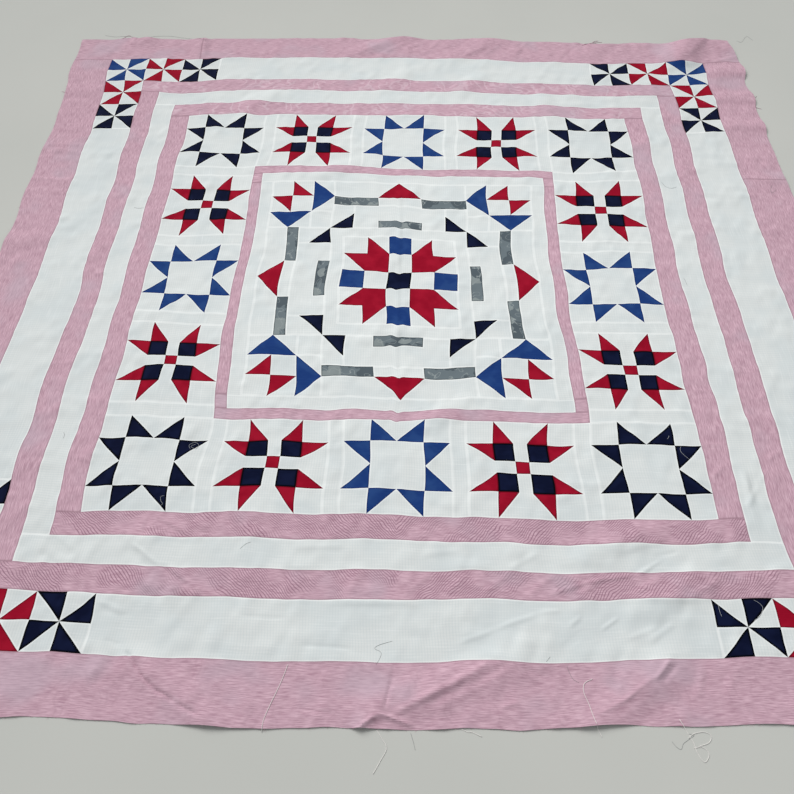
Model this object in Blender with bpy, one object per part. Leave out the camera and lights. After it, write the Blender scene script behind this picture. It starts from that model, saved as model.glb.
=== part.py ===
"""Patchwork quilt top, laid flat: a pieced centre, a ring of star blocks and plain and pinwheel borders.

Every block and strip is a thin sheet of cotton, and neighbours meet along their seams. The quilt is
drafted in inches, as quilts are; the solids are in metres, +Z up, with the underside on Z = 0.
Run it with blender --background --python part.py, or from Blender's text editor.
"""
import math

import bmesh
import bpy
import numpy as np

INCH = 0.0254            # metres

CLOTH = 0.0015           # metres: the cloth with the seam allowances pressed under it
SEAM_GAP = 0.0003 / INCH  # inches left between neighbouring pieces, so that no two solids touch

# Finished widths in inches
PATCH = 2.5              # the small square that the blocks are pieced from
SASH = 1.5               # white strip between blocks
STAR_BLOCK = 4 * PATCH
PINWHEEL = 2 * PATCH
FRAME_STRIP = 1.25
INNER_ROSE_STRIP = 2.25
INNER_WHITE_STRIP = 2.5
MIDDLE_ROSE_STRIP = 2.375
OUTER_ROSE_STRIP = 5.0

# Distances from the middle of the quilt to each ring's outer seam, in inches
CENTRE = 5 * PATCH / 2 + SASH
MEDALLION = CENTRE + 3 * PATCH
FRAME = MEDALLION + SASH + FRAME_STRIP
STARS = FRAME + STAR_BLOCK
INNER_ROSE = STARS + INNER_ROSE_STRIP
INNER_WHITE = INNER_ROSE + INNER_WHITE_STRIP
MIDDLE_ROSE = INNER_WHITE + MIDDLE_ROSE_STRIP
PINWHEELS = MIDDLE_ROSE + PINWHEEL
EDGE = PINWHEELS + OUTER_ROSE_STRIP

MID_STAR = STAR_BLOCK / 2            # the star in the middle of a side reaches this far each way
PINWHEEL_ROW = PINWHEELS - 3 * PINWHEEL  # where a corner's three pinwheels begin
JOIN = FRAME - SASH                  # where the right border's two lengths are joined
LONGEST_CELL = 1.7                   # inches between the lines that the sheets can bend along

# How far the laid cloth has been pulled off its draft, in inches
PULLS = (
    # x, y, pull to the right, pull up
    (-44, 43, -1.1, 0.0),
    (-37, 39, -0.6, 0.65),
    (-27, 40, -0.95, 0.75),
    (-16, 41, -0.5, 1.1),
    (-3, 41, -0.4, 1.2),
    (8, 41, -0.4, 1.0),
    (19, 41, -0.4, 0.25),
    (28, 39, -0.7, 0.2),
    (40, 40, -0.1, 0.55),
    (-38, 29, 0.1, 0.15),
    (-29, 30, -0.1, 0.25),
    (-19, 31, -0.4, 1.1),
    (-7, 31, -0.45, 0.95),
    (5, 31, -0.45, 0.75),
    (16, 31, -0.4, 0.4),
    (28, 31, -0.1, 0.0),
    (38, 29, -0.2, 0.35),
    (-43, 20, 0.1, 0.0),
    (-24, 21, 0.0, 0.3),
    (-12, 22, -0.5, 0.5),
    (1, 18, -0.5, -0.35),
    (12, 20, -0.4, -0.2),
    (24, 20, -0.5, -0.2),
    (-43, 4, 0.4, 0.4),
    (-25, 5, 0.0, 0.1),
    (-14, 8, -0.5, 0.0),
    (16, 3, -1.0, -0.3),
    (27, 4, -0.7, -0.8),
    (30, 15, 0.0, 0.0),
    (42, 8, 0.0, 0.0),
    (0, 0, -0.6, -0.1),
    (26, -6, -0.4, -0.6),
    (36, -15, 0.2, 0.0),
    (-25, -10, -0.1, 0.2),
    (-15, -9, -0.8, 0.0),
    (17, -13, -0.6, -0.2),
    (-32, -22, 0.1, 0.0),
    (-12, -23, -0.25, 0.1),
    (0, -23, -0.35, 0.0),
    (12, -23, -0.45, -0.15),
    (25, -24, -0.3, 0.05),
    (17, -32, -0.1, -0.35),
    (-28, -38, 0.4, -0.1),
    (-11, -39, 0.1, -0.5),
    (6, -39, 0.1, -0.35),
    (28, -39, 0.5, 0.4),
)
PULL_REACH = 5.0         # inches over which one pull fades into the next
PULL_SLACK = 0.02        # how soon a place with no pull near it lies on its draft

# Smaller pulls, block by block, on top of the others
NUDGES = (
    # x, y, pull to the right, pull up
    # ring of stars, top left to top right
    (-20.5, 28.0, 0.25, -0.75),
    (-28.0, 25.5, 0.2, -0.5),
    (-20.0, 20.0, 0.2, -0.35),
    (-14.0, 28.0, 0.2, -0.5),
    (-9.0, 28.0, 0.25, -0.35),
    (-16.5, 25.5, 0.4, -0.5),
    (-4.0, 27.0, 0.15, -0.55),
    (7.5, 26.0, 0.25, -0.4),
    # ring of stars, down the left side
    (-26.0, 15.5, 0.0, -0.35),
    (-18.5, 14.0, -0.15, -0.4),
    (-27.0, 9.5, 0.15, -0.45),
    (-19.0, 9.0, 0.3, -0.3),
    (-25.5, 4.5, -0.15, -0.5),
    (-28.0, 2.5, 0.1, -0.5),
    (-18.5, 2.0, 0.1, -0.4),
    (-20.0, -3.0, 0.1, -0.45),
    (-20.0, -7.5, 0.15, -0.55),
    # ring of stars, bottom left to bottom right
    (-20.5, -18.5, -0.15, -0.35),
    (-28.0, -21.5, -0.4, 0.0),
    (-27.0, -26.0, -0.35, -0.1),
    (-14.0, -18.0, 0.0, -0.45),
    (-9.0, -18.0, 0.15, -0.4),
    # ring of stars, down the right side
    (20.5, 16.0, -0.2, -0.45),
    (27.0, 13.5, -0.05, -0.5),
    (28.0, 9.0, -0.15, -0.35),
    (18.0, 2.5, 0.1, -0.6),
    (18.0, -3.0, 0.0, -0.55),
    (27.0, -2.5, -0.35, -0.2),
    (23.0, -5.0, -0.1, -0.45),
    (22.5, -9.0, -0.3, -0.2),
    (18.5, -14.0, 0.4, 0.1),
    (22.5, -14.0, 0.2, -0.2),
    (26.5, -14.0, -0.45, 0.1),
    # medallion, upper left
    (-10.25, 13.0, -0.15, 0.35),
    (-2.5, 12.75, -0.3, 0.4),
    (0.0, 15.0, -0.3, 0.5),
    (-5.25, 10.25, -0.25, -0.2),
    (-15.25, 0.5, -0.05, 0.3),
    # medallion, lower left
    (-12.3, -3.0, 0.0, -0.3),
    (-15.25, -10.25, 0.4, -0.3),
    (-10.25, -10.25, 0.5, -0.5),
    (-10.0, -14.5, 0.5, -0.65),
    (-2.5, -11.5, 0.1, -0.4),
    (0.0, -15.0, 0.15, -0.6),
    # middle of the medallion
    (3.75, 6.0, 0.0, -0.4),
    (6.25, 2.5, 0.1, -0.45),
    (6.0, -4.0, 0.25, -0.5),
    (1.25, 1.0, 0.05, -0.35),
    (3.75, -6.25, 0.0, -0.55),
    (-1.25, 6.5, 0.25, 0.35),
    # medallion, upper right
    (10.25, 15.25, -0.4, 0.2),
    (5.25, 10.25, -0.3, -0.5),
    (15.25, 0.0, 0.1, 0.1),
    # medallion, lower right
    (12.3, -2.7, 0.4, -0.5),
    (13.5, -10.5, 0.35, -0.45),
    (12.5, -15.25, 0.3, -0.25),
    (2.5, -13.5, 0.15, -0.7),
    # borders
    (-20.0, 45.1, 0.0, -0.4),
    (-12.0, 45.1, 0.0, -0.45),
    (-4.0, 45.1, 0.0, -0.45),
    (4.0, 45.1, 0.0, -0.4),
    (37.0, 45.1, 0.0, -0.5),
    (37.0, 40.1, 0.0, -0.4),
    (-29.0, 32.75, 0.0, -0.35),
    (-35.1, -5.0, 0.4, 0.0),
    (30.0, -29.0, -0.35, 0.0),
    (29.0, -35.1, -0.15, -0.3),
    (14.0, -45.1, 0.0, 0.35),
)
NUDGE_REACH = 1.8        # inches over which one nudge fades into the next
NUDGE_SLACK = 0.2        # how soon a place with no nudge near it stays where its pulls leave it

# Tighter pulls, in inches
TUGS = (
    # x, y, pull to the right, pull up, how far it reaches
    (45.1, 45.1, -0.4, 0.2, 3.5),
    (-20.5, 30.4, 0.0, 0.7, 3.5),
    (-22.0, 28.0, 0.0, 0.5, 3.0),
    (-38.9, 45.1, 0.0, 0.5, 2.5),
    (-30.0, 45.1, 0.0, -0.4, 9.0),
    (28.0, 45.1, 0.0, -0.4, 9.0),
    (45.1, 38.0, 0.2, 0.0, 3.0),
    (45.1, 32.5, 0.2, 0.0, 3.0),
    (45.1, 26.4, 0.2, 0.0, 3.0),
    (45.1, 35.2, -0.15, 0.0, 2.5),
    (45.1, 29.5, -0.15, 0.0, 2.5),
    (4.0, -17.5, 0.0, 0.25, 4.0),
    (-5.0, 18.0, 0.0, 0.25, 5.0),
    (-18.0, -17.5, 0.7, 0.0, 6.0),
    (-24.0, -36.8, 0.0, -0.4, 8.3),
    (-15.0, -36.8, 0.0, -0.15, 8.3),
    (-3.0, -36.8, 0.0, -0.28, 8.3),
    (33.5, -15.0, -0.42, 0.0, 9.0),
    (28.5, -9.0, -0.3, 0.0, 2.8),
    (29.5, -15.0, 0.42, 0.0, 3.0),
    (35.0, -15.0, 0.24, 0.0, 2.8),
    (28.5, -19.5, -0.16, 0.0, 2.8),
    (34.0, -10.0, -0.24, 0.0, 3.0),
    (34.0, -21.0, -0.27, 0.0, 3.4),
    (34.0, 15.0, -0.25, 0.0, 10.0),
    (38.0, 6.0, -0.18, 0.0, 7.0),
    (-32.5, -7.0, 0.2, 0.0, 9.0),
    (-34.0, 14.0, 0.15, 0.0, 9.0),
)

# Slow waver of every seam
WAVER = 0.09             # inches to either side
WAVER_LENGTH = (8.5, 11.0)  # inches from one crest to the next: upright seams, level seams
WAVER_DRIFT = 0.1        # radians that a seam's waver lags for each inch to its neighbour

# Soft ridges where the cloth folds or rucks up, in inches but for the height in metres
FOLDS = (
    # x and y of one end, x and y of the other, half width, height
    (35.0, 38.0, 42.5, 50.0, 3.6, 0.020),
    (39.0, 46.5, 49.0, 41.0, 2.6, 0.008),
    (-28.4, 39.0, -28.4, 50.0, 1.9, 0.005),
    (-36.5, 42.5, -35.3, 50.0, 2.3, 0.007),
    (-10.0, 39.8, 6.5, 49.5, 2.2, 0.007),
    (4.5, 38.5, 18.0, 49.5, 2.2, 0.006),
    (24.0, 40.0, 31.0, 50.0, 2.0, 0.004),
    (38.5, 37.6, 51.0, 38.4, 2.0, 0.007),
    (38.5, 32.3, 51.0, 32.5, 2.0, 0.006),
    (38.5, 26.3, 51.0, 26.5, 2.0, 0.006),
    (39.0, 16.5, 51.0, 16.5, 1.8, 0.004),
    (-51.0, 32.8, -38.5, 33.2, 1.9, 0.005),
    (-51.0, 4.3, -39.0, 5.3, 1.9, 0.005),
    (-23.0, -38.5, -10.0, -48.0, 1.9, 0.006),
    (-1.2, -41.5, -2.4, -50.0, 2.0, 0.008),
    (13.0, -38.5, -4.0, -45.0, 2.4, 0.007),
    (24.0, -38.0, 11.0, -48.5, 2.2, 0.007),
    (-23.5, -28.5, -16.5, -36.5, 1.8, 0.004),
    (-22.5, 27.5, -15.5, 33.0, 2.4, 0.006),
    (17.2, 34.0, 20.2, 26.0, 1.9, 0.005),
    (-4.0, 32.0, 1.5, 38.0, 1.9, 0.004),
    (6.0, 31.5, 11.5, 37.5, 1.9, 0.004),
    (17.5, -37.0, 27.5, -32.0, 1.9, 0.004),
    (13.0, -32.5, 25.0, -27.5, 1.9, 0.004),
    (-12.0, 15.2, -4.0, 19.5, 1.9, 0.004),
    (0.5, -19.5, 7.5, -15.5, 1.9, 0.004),
)
FOLD_TAPER = 0.3         # share of a fold's length over which each end runs out

# Colour of each cloth: red, green, blue
CLOTHS = {
    "rose": (0.62, 0.37, 0.45),
    "white": (0.78, 0.81, 0.80),
    "navy": (0.010, 0.014, 0.060),
    "blue": (0.022, 0.065, 0.250),
    "red": (0.380, 0.010, 0.022),
    "grey": (0.200, 0.230, 0.240),
}
CLOTH_ROUGHNESS = 0.9


def bell(share):
    """A smooth hump: 1 in the middle, 0 from a share of 1 outwards."""
    return np.cos(np.pi / 2 * np.clip(np.abs(share), 0, 1)) ** 2


def along_fold(x, y, fold):
    """The height in metres that one fold adds at each place."""
    x0, y0, x1, y1, half_width, height = fold
    length = math.hypot(x1 - x0, y1 - y0)
    east, north = (x1 - x0) / length, (y1 - y0) / length
    run = ((x - x0) * east + (y - y0) * north) / length
    aside = (y - y0) * east - (x - x0) * north
    past_middle = np.abs(2 * run - 1)
    end = bell((past_middle - (1 - 2 * FOLD_TAPER)).clip(0) / (2 * FOLD_TAPER))
    return height * bell(aside / half_width) * end


def lay(x, y):
    """Where places of the draft, in inches, lie on the floor: x, y and height in metres."""
    right, up = np.zeros(x.shape), np.zeros(x.shape)
    for pulls, reach, slack in ((PULLS, PULL_REACH, PULL_SLACK), (NUDGES, NUDGE_REACH, NUDGE_SLACK)):
        weight = np.full(x.shape, slack)
        pulled_right, pulled_up = np.zeros(x.shape), np.zeros(x.shape)
        for at_x, at_y, pull_right, pull_up in pulls:
            near = np.exp(-((x - at_x) ** 2 + (y - at_y) ** 2) / (2 * reach ** 2))
            weight += near
            pulled_right += near * pull_right
            pulled_up += near * pull_up
        right += pulled_right / weight
        up += pulled_up / weight
    for at_x, at_y, tug_right, tug_up, reach in TUGS:
        near = bell(np.hypot(x - at_x, y - at_y) / reach)
        right += near * tug_right
        up += near * tug_up
    right += WAVER * np.sin(2 * np.pi * y / WAVER_LENGTH[0] + WAVER_DRIFT * x)
    up += WAVER * np.sin(2 * np.pi * x / WAVER_LENGTH[1] - WAVER_DRIFT * y)
    height = np.zeros(x.shape)
    for fold in FOLDS:
        height = np.maximum(height, along_fold(x, y, fold))
    return (x + right) * INCH, (y + up) * INCH, height


def bend_lines():
    """Every seam from edge to edge, with even lines between, so that neighbours bend at the same places."""
    out = (0, MID_STAR, MID_STAR + SASH, CENTRE, MEDALLION, JOIN, FRAME, PINWHEEL_ROW, STARS, INNER_ROSE,
           INNER_WHITE, MIDDLE_ROSE, PINWHEELS, EDGE)
    lines = [0.0]
    for inner, outer in zip(out, out[1:]):
        cells = math.ceil((outer - inner) / LONGEST_CELL)
        lines += [inner + (outer - inner) * step / cells for step in range(1, cells + 1)]
    return [-line for line in reversed(lines[1:])] + lines


def cut_across(mesh, lines, normal):
    """Cuts the flat sheet along each line across the given direction."""
    for line in lines:
        whole = mesh.verts[:] + mesh.edges[:] + mesh.faces[:]
        bmesh.ops.bisect_plane(mesh, geom=whole, plane_co=[line * part for part in normal], plane_no=normal)


def new_cloth(name, colour):
    """A matt cotton of the given colour."""
    material = bpy.data.materials.new(name)
    material.use_nodes = True
    shader = material.node_tree.nodes["Principled BSDF"]
    shader.inputs["Base Color"].default_value = (*colour, 1)
    shader.inputs["Roughness"].default_value = CLOTH_ROUGHNESS
    shader.inputs["Metallic"].default_value = 0
    material.diffuse_color = (*colour, 1)
    return material


def sew_piece(name, left, bottom, right, top, cloth, lines, collection):
    """One block or strip: a flat sheet cut along the bend lines, laid on the floor and given its thickness."""
    left, right = left + SEAM_GAP / 2, right - SEAM_GAP / 2
    bottom, top = bottom + SEAM_GAP / 2, top - SEAM_GAP / 2
    sheet = bmesh.new()
    bmesh.ops.create_grid(sheet, x_segments=1, y_segments=1, size=0.5)
    bmesh.ops.scale(sheet, vec=(right - left, top - bottom, 1), verts=sheet.verts[:])
    bmesh.ops.translate(sheet, vec=((left + right) / 2, (bottom + top) / 2, 0), verts=sheet.verts[:])
    cut_across(sheet, [line for line in lines if left < line < right], (1, 0, 0))
    cut_across(sheet, [line for line in lines if bottom < line < top], (0, 1, 0))
    draft = np.array([vertex.co for vertex in sheet.verts])
    for vertex, *place in zip(sheet.verts, *lay(draft[:, 0], draft[:, 1])):
        vertex.co = place
    bmesh.ops.triangulate(sheet, faces=sheet.faces[:], quad_method="SHORT_EDGE")
    upper = bmesh.ops.extrude_face_region(sheet, geom=sheet.faces[:])["geom"]
    lifted = [item for item in upper if isinstance(item, bmesh.types.BMVert)]
    bmesh.ops.translate(sheet, vec=(0, 0, CLOTH), verts=lifted)
    bmesh.ops.recalc_face_normals(sheet, faces=sheet.faces[:])
    data = bpy.data.meshes.new(name)
    sheet.to_mesh(data)
    sheet.free()
    data.materials.append(new_cloth(name, CLOTHS[cloth]))
    piece = bpy.data.objects.new(name, data)
    collection.objects.link(piece)
    return piece


def ring_of_strips(name, inner, outer, cloth):
    """Four border strips: top and bottom over the full width, the sides between them."""
    return [
        (name + "_top", -outer, inner, outer, outer, cloth),
        (name + "_bottom", -outer, -outer, outer, -inner, cloth),
        (name + "_left", -outer, -inner, -inner, inner, cloth),
        (name + "_right", inner, -inner, outer, inner, cloth),
    ]


def outer_border():
    """The outer border, with its top, left and right strips each joined from two lengths."""
    return [
        ("outer_border_top_left", -EDGE, PINWHEELS, -STARS, EDGE, "rose"),
        ("outer_border_top_right", -STARS, PINWHEELS, EDGE, EDGE, "rose"),
        ("outer_border_bottom", -EDGE, -EDGE, EDGE, -PINWHEELS, "rose"),
        ("outer_border_left_upper", -EDGE, 0, -PINWHEELS, PINWHEELS, "rose"),
        ("outer_border_left_lower", -EDGE, -PINWHEELS, -PINWHEELS, 0, "rose"),
        ("outer_border_right_upper", PINWHEELS, JOIN, EDGE, PINWHEELS, "rose"),
        ("outer_border_right_lower", PINWHEELS, -PINWHEELS, EDGE, JOIN, "rose"),
    ]


def pinwheel_border():
    """White strips with three pinwheels at each end of the long ones and two at each end of the short ones."""
    pieces = [
        ("pinwheel_border_top", -PINWHEEL_ROW, MIDDLE_ROSE, PINWHEEL_ROW, PINWHEELS, "white"),
        ("pinwheel_border_bottom", -PINWHEEL_ROW, -PINWHEELS, PINWHEEL_ROW, -MIDDLE_ROSE, "white"),
        ("pinwheel_border_left", -PINWHEELS, -PINWHEEL_ROW, -MIDDLE_ROSE, PINWHEEL_ROW, "white"),
        ("pinwheel_border_right", MIDDLE_ROSE, -PINWHEEL_ROW, PINWHEELS, PINWHEEL_ROW, "white"),
    ]
    for side, x_sign in (("left", -1), ("right", 1)):
        columns = sorted((x_sign * PINWHEEL_ROW, x_sign * PINWHEELS))
        column = sorted((x_sign * MIDDLE_ROSE, x_sign * PINWHEELS))
        for end, y_sign in (("top", 1), ("bottom", -1)):
            rows = sorted((y_sign * MIDDLE_ROSE, y_sign * PINWHEELS))
            below = sorted((y_sign * PINWHEEL_ROW, y_sign * MIDDLE_ROSE))
            pieces.append((f"pinwheel_row_{end}_{side}", columns[0], rows[0], columns[1], rows[1], "blue"))
            pieces.append((f"pinwheel_column_{end}_{side}", column[0], below[0], column[1], below[1], "red"))
    return pieces


def star_ring():
    """Sixteen star blocks: each side has a blue star between two paw stars with their sashes."""
    stars = []
    for side, x_sign in (("left", -1), ("right", 1)):
        across = sorted((x_sign * FRAME, x_sign * STARS))
        stars.append((f"blue_star_{side}", across[0], -MID_STAR, across[1], MID_STAR, "blue"))
        stars.append((f"paw_star_{side}_upper", across[0], MID_STAR, across[1], FRAME, "red"))
        stars.append((f"paw_star_{side}_lower", across[0], -FRAME, across[1], -MID_STAR, "red"))
    for end, y_sign in (("top", 1), ("bottom", -1)):
        up = sorted((y_sign * FRAME, y_sign * STARS))
        stars.append((f"blue_star_{end}", -MID_STAR, up[0], MID_STAR, up[1], "blue"))
        stars.append((f"paw_star_{end}_left", -FRAME, up[0], -MID_STAR, up[1], "red"))
        stars.append((f"paw_star_{end}_right", MID_STAR, up[0], FRAME, up[1], "red"))
        stars.append((f"navy_star_{end}_left", -STARS, up[0], -FRAME, up[1], "navy"))
        stars.append((f"navy_star_{end}_right", FRAME, up[0], STARS, up[1], "navy"))
    return stars


def medallion():
    """The middle block with its sash, the four side blocks and the four corner blocks around it."""
    blocks = [
        ("medallion_centre", -CENTRE, -CENTRE, CENTRE, CENTRE, "blue"),
        ("medallion_side_top", -CENTRE, CENTRE, CENTRE, MEDALLION, "grey"),
        ("medallion_side_bottom", -CENTRE, -MEDALLION, CENTRE, -CENTRE, "grey"),
        ("medallion_side_left", -MEDALLION, -CENTRE, -CENTRE, CENTRE, "grey"),
        ("medallion_side_right", CENTRE, -CENTRE, MEDALLION, CENTRE, "grey"),
    ]
    for side, x_sign in (("left", -1), ("right", 1)):
        across = sorted((x_sign * CENTRE, x_sign * MEDALLION))
        for end, y_sign in (("top", 1), ("bottom", -1)):
            up = sorted((y_sign * CENTRE, y_sign * MEDALLION))
            blocks.append((f"medallion_corner_{end}_{side}", across[0], up[0], across[1], up[1], "red"))
    return blocks


def centre_on_floor(pieces):
    """Moves every piece alike, so that the whole quilt's box is centred on the origin."""
    corners = np.array([vertex.co for piece in pieces for vertex in piece.data.vertices])
    middle = (corners.min(axis=0) + corners.max(axis=0)) / 2
    for piece in pieces:
        for vertex in piece.data.vertices:
            vertex.co.x -= middle[0]
            vertex.co.y -= middle[1]


for old in list(bpy.data.objects):
    bpy.data.objects.remove(old, do_unlink=True)
quilt = bpy.data.collections.new("patchwork_quilt")
bpy.context.scene.collection.children.link(quilt)
plan = (
    outer_border()
    + pinwheel_border()
    + ring_of_strips("middle_rose_border", INNER_WHITE, MIDDLE_ROSE, "rose")
    + ring_of_strips("inner_white_border", INNER_ROSE, INNER_WHITE, "white")
    + ring_of_strips("inner_rose_border", STARS, INNER_ROSE, "rose")
    + star_ring()
    + ring_of_strips("medallion_frame", MEDALLION, FRAME, "rose")
    + medallion()
)
centre_on_floor([sew_piece(*entry, bend_lines(), quilt) for entry in plan])
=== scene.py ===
import math

import bmesh
import bpy
import numpy as np
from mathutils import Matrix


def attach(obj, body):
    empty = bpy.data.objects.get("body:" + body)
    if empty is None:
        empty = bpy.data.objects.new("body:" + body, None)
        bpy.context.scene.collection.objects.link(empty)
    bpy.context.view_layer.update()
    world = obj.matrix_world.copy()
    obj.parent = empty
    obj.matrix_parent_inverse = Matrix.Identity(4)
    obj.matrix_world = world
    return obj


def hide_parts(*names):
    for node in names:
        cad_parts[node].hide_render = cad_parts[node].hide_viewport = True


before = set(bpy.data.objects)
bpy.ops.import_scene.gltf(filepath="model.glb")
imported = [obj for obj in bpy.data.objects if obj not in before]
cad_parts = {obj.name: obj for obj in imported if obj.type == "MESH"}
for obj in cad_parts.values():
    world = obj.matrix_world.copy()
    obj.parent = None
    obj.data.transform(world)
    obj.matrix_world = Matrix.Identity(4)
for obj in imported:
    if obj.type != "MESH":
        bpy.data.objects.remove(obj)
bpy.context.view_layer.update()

# ----------------------------------------
# Middle block of the medallion
# A five by five block in plain quilting cotton: crimson, royal blue, navy and bleached white,
# machine sewn patch to patch, with a white sash all round. It lies on the floor with the rest of
# the quilt top, which is one layer, unfolded and smoothed by hand.
INCH = 0.0254
EDGE = 45.125  # inches from the middle to the raw edge
PATCH = 2.5  # inches: the small square that the blocks are pieced from
SASH = 1.5  # inches: the white strip between blocks
BLOCK = 5 * PATCH / 2  # from the middle to the block's edge
CENTRE = BLOCK + SASH  # from the middle to the sash's outer seam

# Laying the top out has pulled each part a little off its draft. Draft and laid places are in
# inches from the middle of the quilt, and the heights of folds and creases are in millimetres.
PULLS = (
    # x, y, pull to the right, pull up
    (-44, 43, -1.1, 0), (-37, 39, -0.6, 0.65), (-27, 40, -0.95, 0.75), (-16, 41, -0.5, 1.1),
    (-3, 41, -0.4, 1.2), (8, 41, -0.4, 1), (19, 41, -0.4, 0.25), (28, 39, -0.7, 0.2),
    (40, 40, -0.1, 0.55), (-38, 29, 0.1, 0.15), (-29, 30, -0.1, 0.25), (-19, 31, -0.4, 1.1),
    (-7, 31, -0.45, 0.95), (5, 31, -0.45, 0.75), (16, 31, -0.4, 0.4), (28, 31, -0.1, 0),
    (38, 29, -0.2, 0.35), (-43, 20, 0.1, 0), (-24, 21, 0, 0.3), (-12, 22, -0.5, 0.5),
    (1, 18, -0.5, -0.35), (12, 20, -0.4, -0.2), (24, 20, -0.5, -0.2), (-43, 4, 0.4, 0.4),
    (-25, 5, 0, 0.1), (-14, 8, -0.5, 0), (16, 3, -1, -0.3), (27, 4, -0.7, -0.8),
    (30, 15, 0, 0), (42, 8, 0, 0), (0, 0, -0.6, -0.1), (26, -6, -0.4, -0.6),
    (36, -15, 0.2, 0), (-25, -10, -0.1, 0.2), (-15, -9, -0.8, 0), (17, -13, -0.6, -0.2),
    (-32, -22, 0.1, 0), (-12, -23, -0.25, 0.1), (0, -23, -0.35, 0), (12, -23, -0.45, -0.15),
    (25, -24, -0.3, 0.05), (17, -32, -0.1, -0.35), (-28, -38, 0.4, -0.1), (-11, -39, 0.1, -0.5),
    (6, -39, 0.1, -0.35), (28, -39, 0.5, 0.4),
)
PULL_REACH = 5.0  # inches over which one pull fades into the next
PULL_SLACK = 0.02  # how soon a place with no pull near it lies on its draft

# Smaller pulls, block by block, on top of those
NUDGES = (
    # x, y, pull to the right, pull up
    # ring of stars, top left to top right
    (-20.5, 28, 0.25, -0.75), (-28, 25.5, 0.2, -0.5), (-20, 20, 0.2, -0.35), (-14, 28, 0.2, -0.5),
    (-9, 28, 0.25, -0.35), (-16.5, 25.5, 0.4, -0.5), (-4, 27, 0.15, -0.55), (7.5, 26, 0.25, -0.4),
    # ring of stars, down the left side
    (-26, 15.5, 0, -0.35), (-18.5, 14, -0.15, -0.4), (-27, 9.5, 0.15, -0.45), (-19, 9, 0.3, -0.3),
    (-25.5, 4.5, -0.15, -0.5), (-28, 2.5, 0.1, -0.5), (-18.5, 2, 0.1, -0.4), (-20, -3, 0.1, -0.45),
    (-20, -7.5, 0.15, -0.55),
    # ring of stars, bottom left to bottom right
    (-20.5, -18.5, -0.15, -0.35), (-28, -21.5, -0.4, 0), (-27, -26, -0.35, -0.1), (-14, -18, 0, -0.45),
    (-9, -18, 0.15, -0.4),
    # ring of stars, down the right side
    (20.5, 16, -0.2, -0.45), (27, 13.5, -0.05, -0.5), (28, 9, -0.15, -0.35), (18, 2.5, 0.1, -0.6),
    (18, -3, 0, -0.55), (27, -2.5, -0.35, -0.2), (23, -5, -0.1, -0.45), (22.5, -9, -0.3, -0.2),
    (18.5, -14, 0.4, 0.1), (22.5, -14, 0.2, -0.2), (26.5, -14, -0.45, 0.1),
    # medallion, upper left
    (-10.25, 13, -0.15, 0.35), (-2.5, 12.75, -0.3, 0.4), (0, 15, -0.3, 0.5), (-5.25, 10.25, -0.25, -0.2),
    (-15.25, 0.5, -0.05, 0.3),
    # medallion, lower left
    (-12.3, -3, 0, -0.3), (-15.25, -10.25, 0.4, -0.3), (-10.25, -10.25, 0.5, -0.5), (-10, -14.5, 0.5, -0.65),
    (-2.5, -11.5, 0.1, -0.4), (0, -15, 0.15, -0.6),
    # middle of the medallion
    (3.75, 6, 0, -0.4), (6.25, 2.5, 0.1, -0.45), (6, -4, 0.25, -0.5), (1.25, 1, 0.05, -0.35),
    (3.75, -6.25, 0, -0.55), (-1.25, 6.5, 0.25, 0.35),
    # medallion, upper right
    (10.25, 15.25, -0.4, 0.2), (5.25, 10.25, -0.3, -0.5), (15.25, 0, 0.1, 0.1),
    # medallion, lower right
    (12.3, -2.7, 0.4, -0.5), (13.5, -10.5, 0.35, -0.45), (12.5, -15.25, 0.3, -0.25), (2.5, -13.5, 0.15, -0.7),
    # borders
    (-20, 45.1, 0, -0.4), (-12, 45.1, 0, -0.45), (-4, 45.1, 0, -0.45), (4, 45.1, 0, -0.4),
    (37, 45.1, 0, -0.5), (37, 40.1, 0, -0.4), (-29, 32.75, 0, -0.35), (-35.1, -5, 0.4, 0),
    (30, -29, -0.35, 0), (29, -35.1, -0.15, -0.3), (14, -45.1, 0, 0.35),
)
NUDGE_REACH = 1.8  # inches over which one nudge fades into the next
NUDGE_SLACK = 0.2  # how soon a place with no nudge near it stays where its pulls leave it

# Single pulls, each with a reach of its own
TUGS = (
    # x, y, pull to the right, pull up, how far it reaches
    (45.1, 45.1, -0.4, 0.2, 3.5), (-20.5, 30.4, 0, 0.7, 3.5), (-22, 28, 0, 0.5, 3),
    (-38.9, 45.1, 0, 0.5, 2.5), (-30, 45.1, 0, -0.4, 9), (28, 45.1, 0, -0.4, 9),
    (45.1, 38, 0.2, 0, 3), (45.1, 32.5, 0.2, 0, 3), (45.1, 26.4, 0.2, 0, 3),
    (45.1, 35.2, -0.15, 0, 2.5), (45.1, 29.5, -0.15, 0, 2.5), (4, -17.5, 0, 0.25, 4),
    (-5, 18, 0, 0.25, 5), (-18, -17.5, 0.7, 0, 6), (-24, -36.8, 0, -0.4, 8.3),
    (-15, -36.8, 0, -0.15, 8.3), (-3, -36.8, 0, -0.28, 8.3), (33.5, -15, -0.42, 0, 9),
    (28.5, -9, -0.3, 0, 2.8), (29.5, -15, 0.42, 0, 3), (35, -15, 0.24, 0, 2.8),
    (28.5, -19.5, -0.16, 0, 2.8), (34, -10, -0.24, 0, 3), (34, -21, -0.27, 0, 3.4),
    (34, 15, -0.25, 0, 10), (38, 6, -0.18, 0, 7), (-32.5, -7, 0.2, 0, 9),
    (-34, 14, 0.15, 0, 9),
)
WAVER = 0.09  # inches that a seam wavers to either side
WAVER_LENGTH = (8.5, 11)  # inches from one crest to the next: upright seams, level seams
WAVER_DRIFT = 0.1  # radians that a seam's waver lags for each inch to its neighbour

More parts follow.
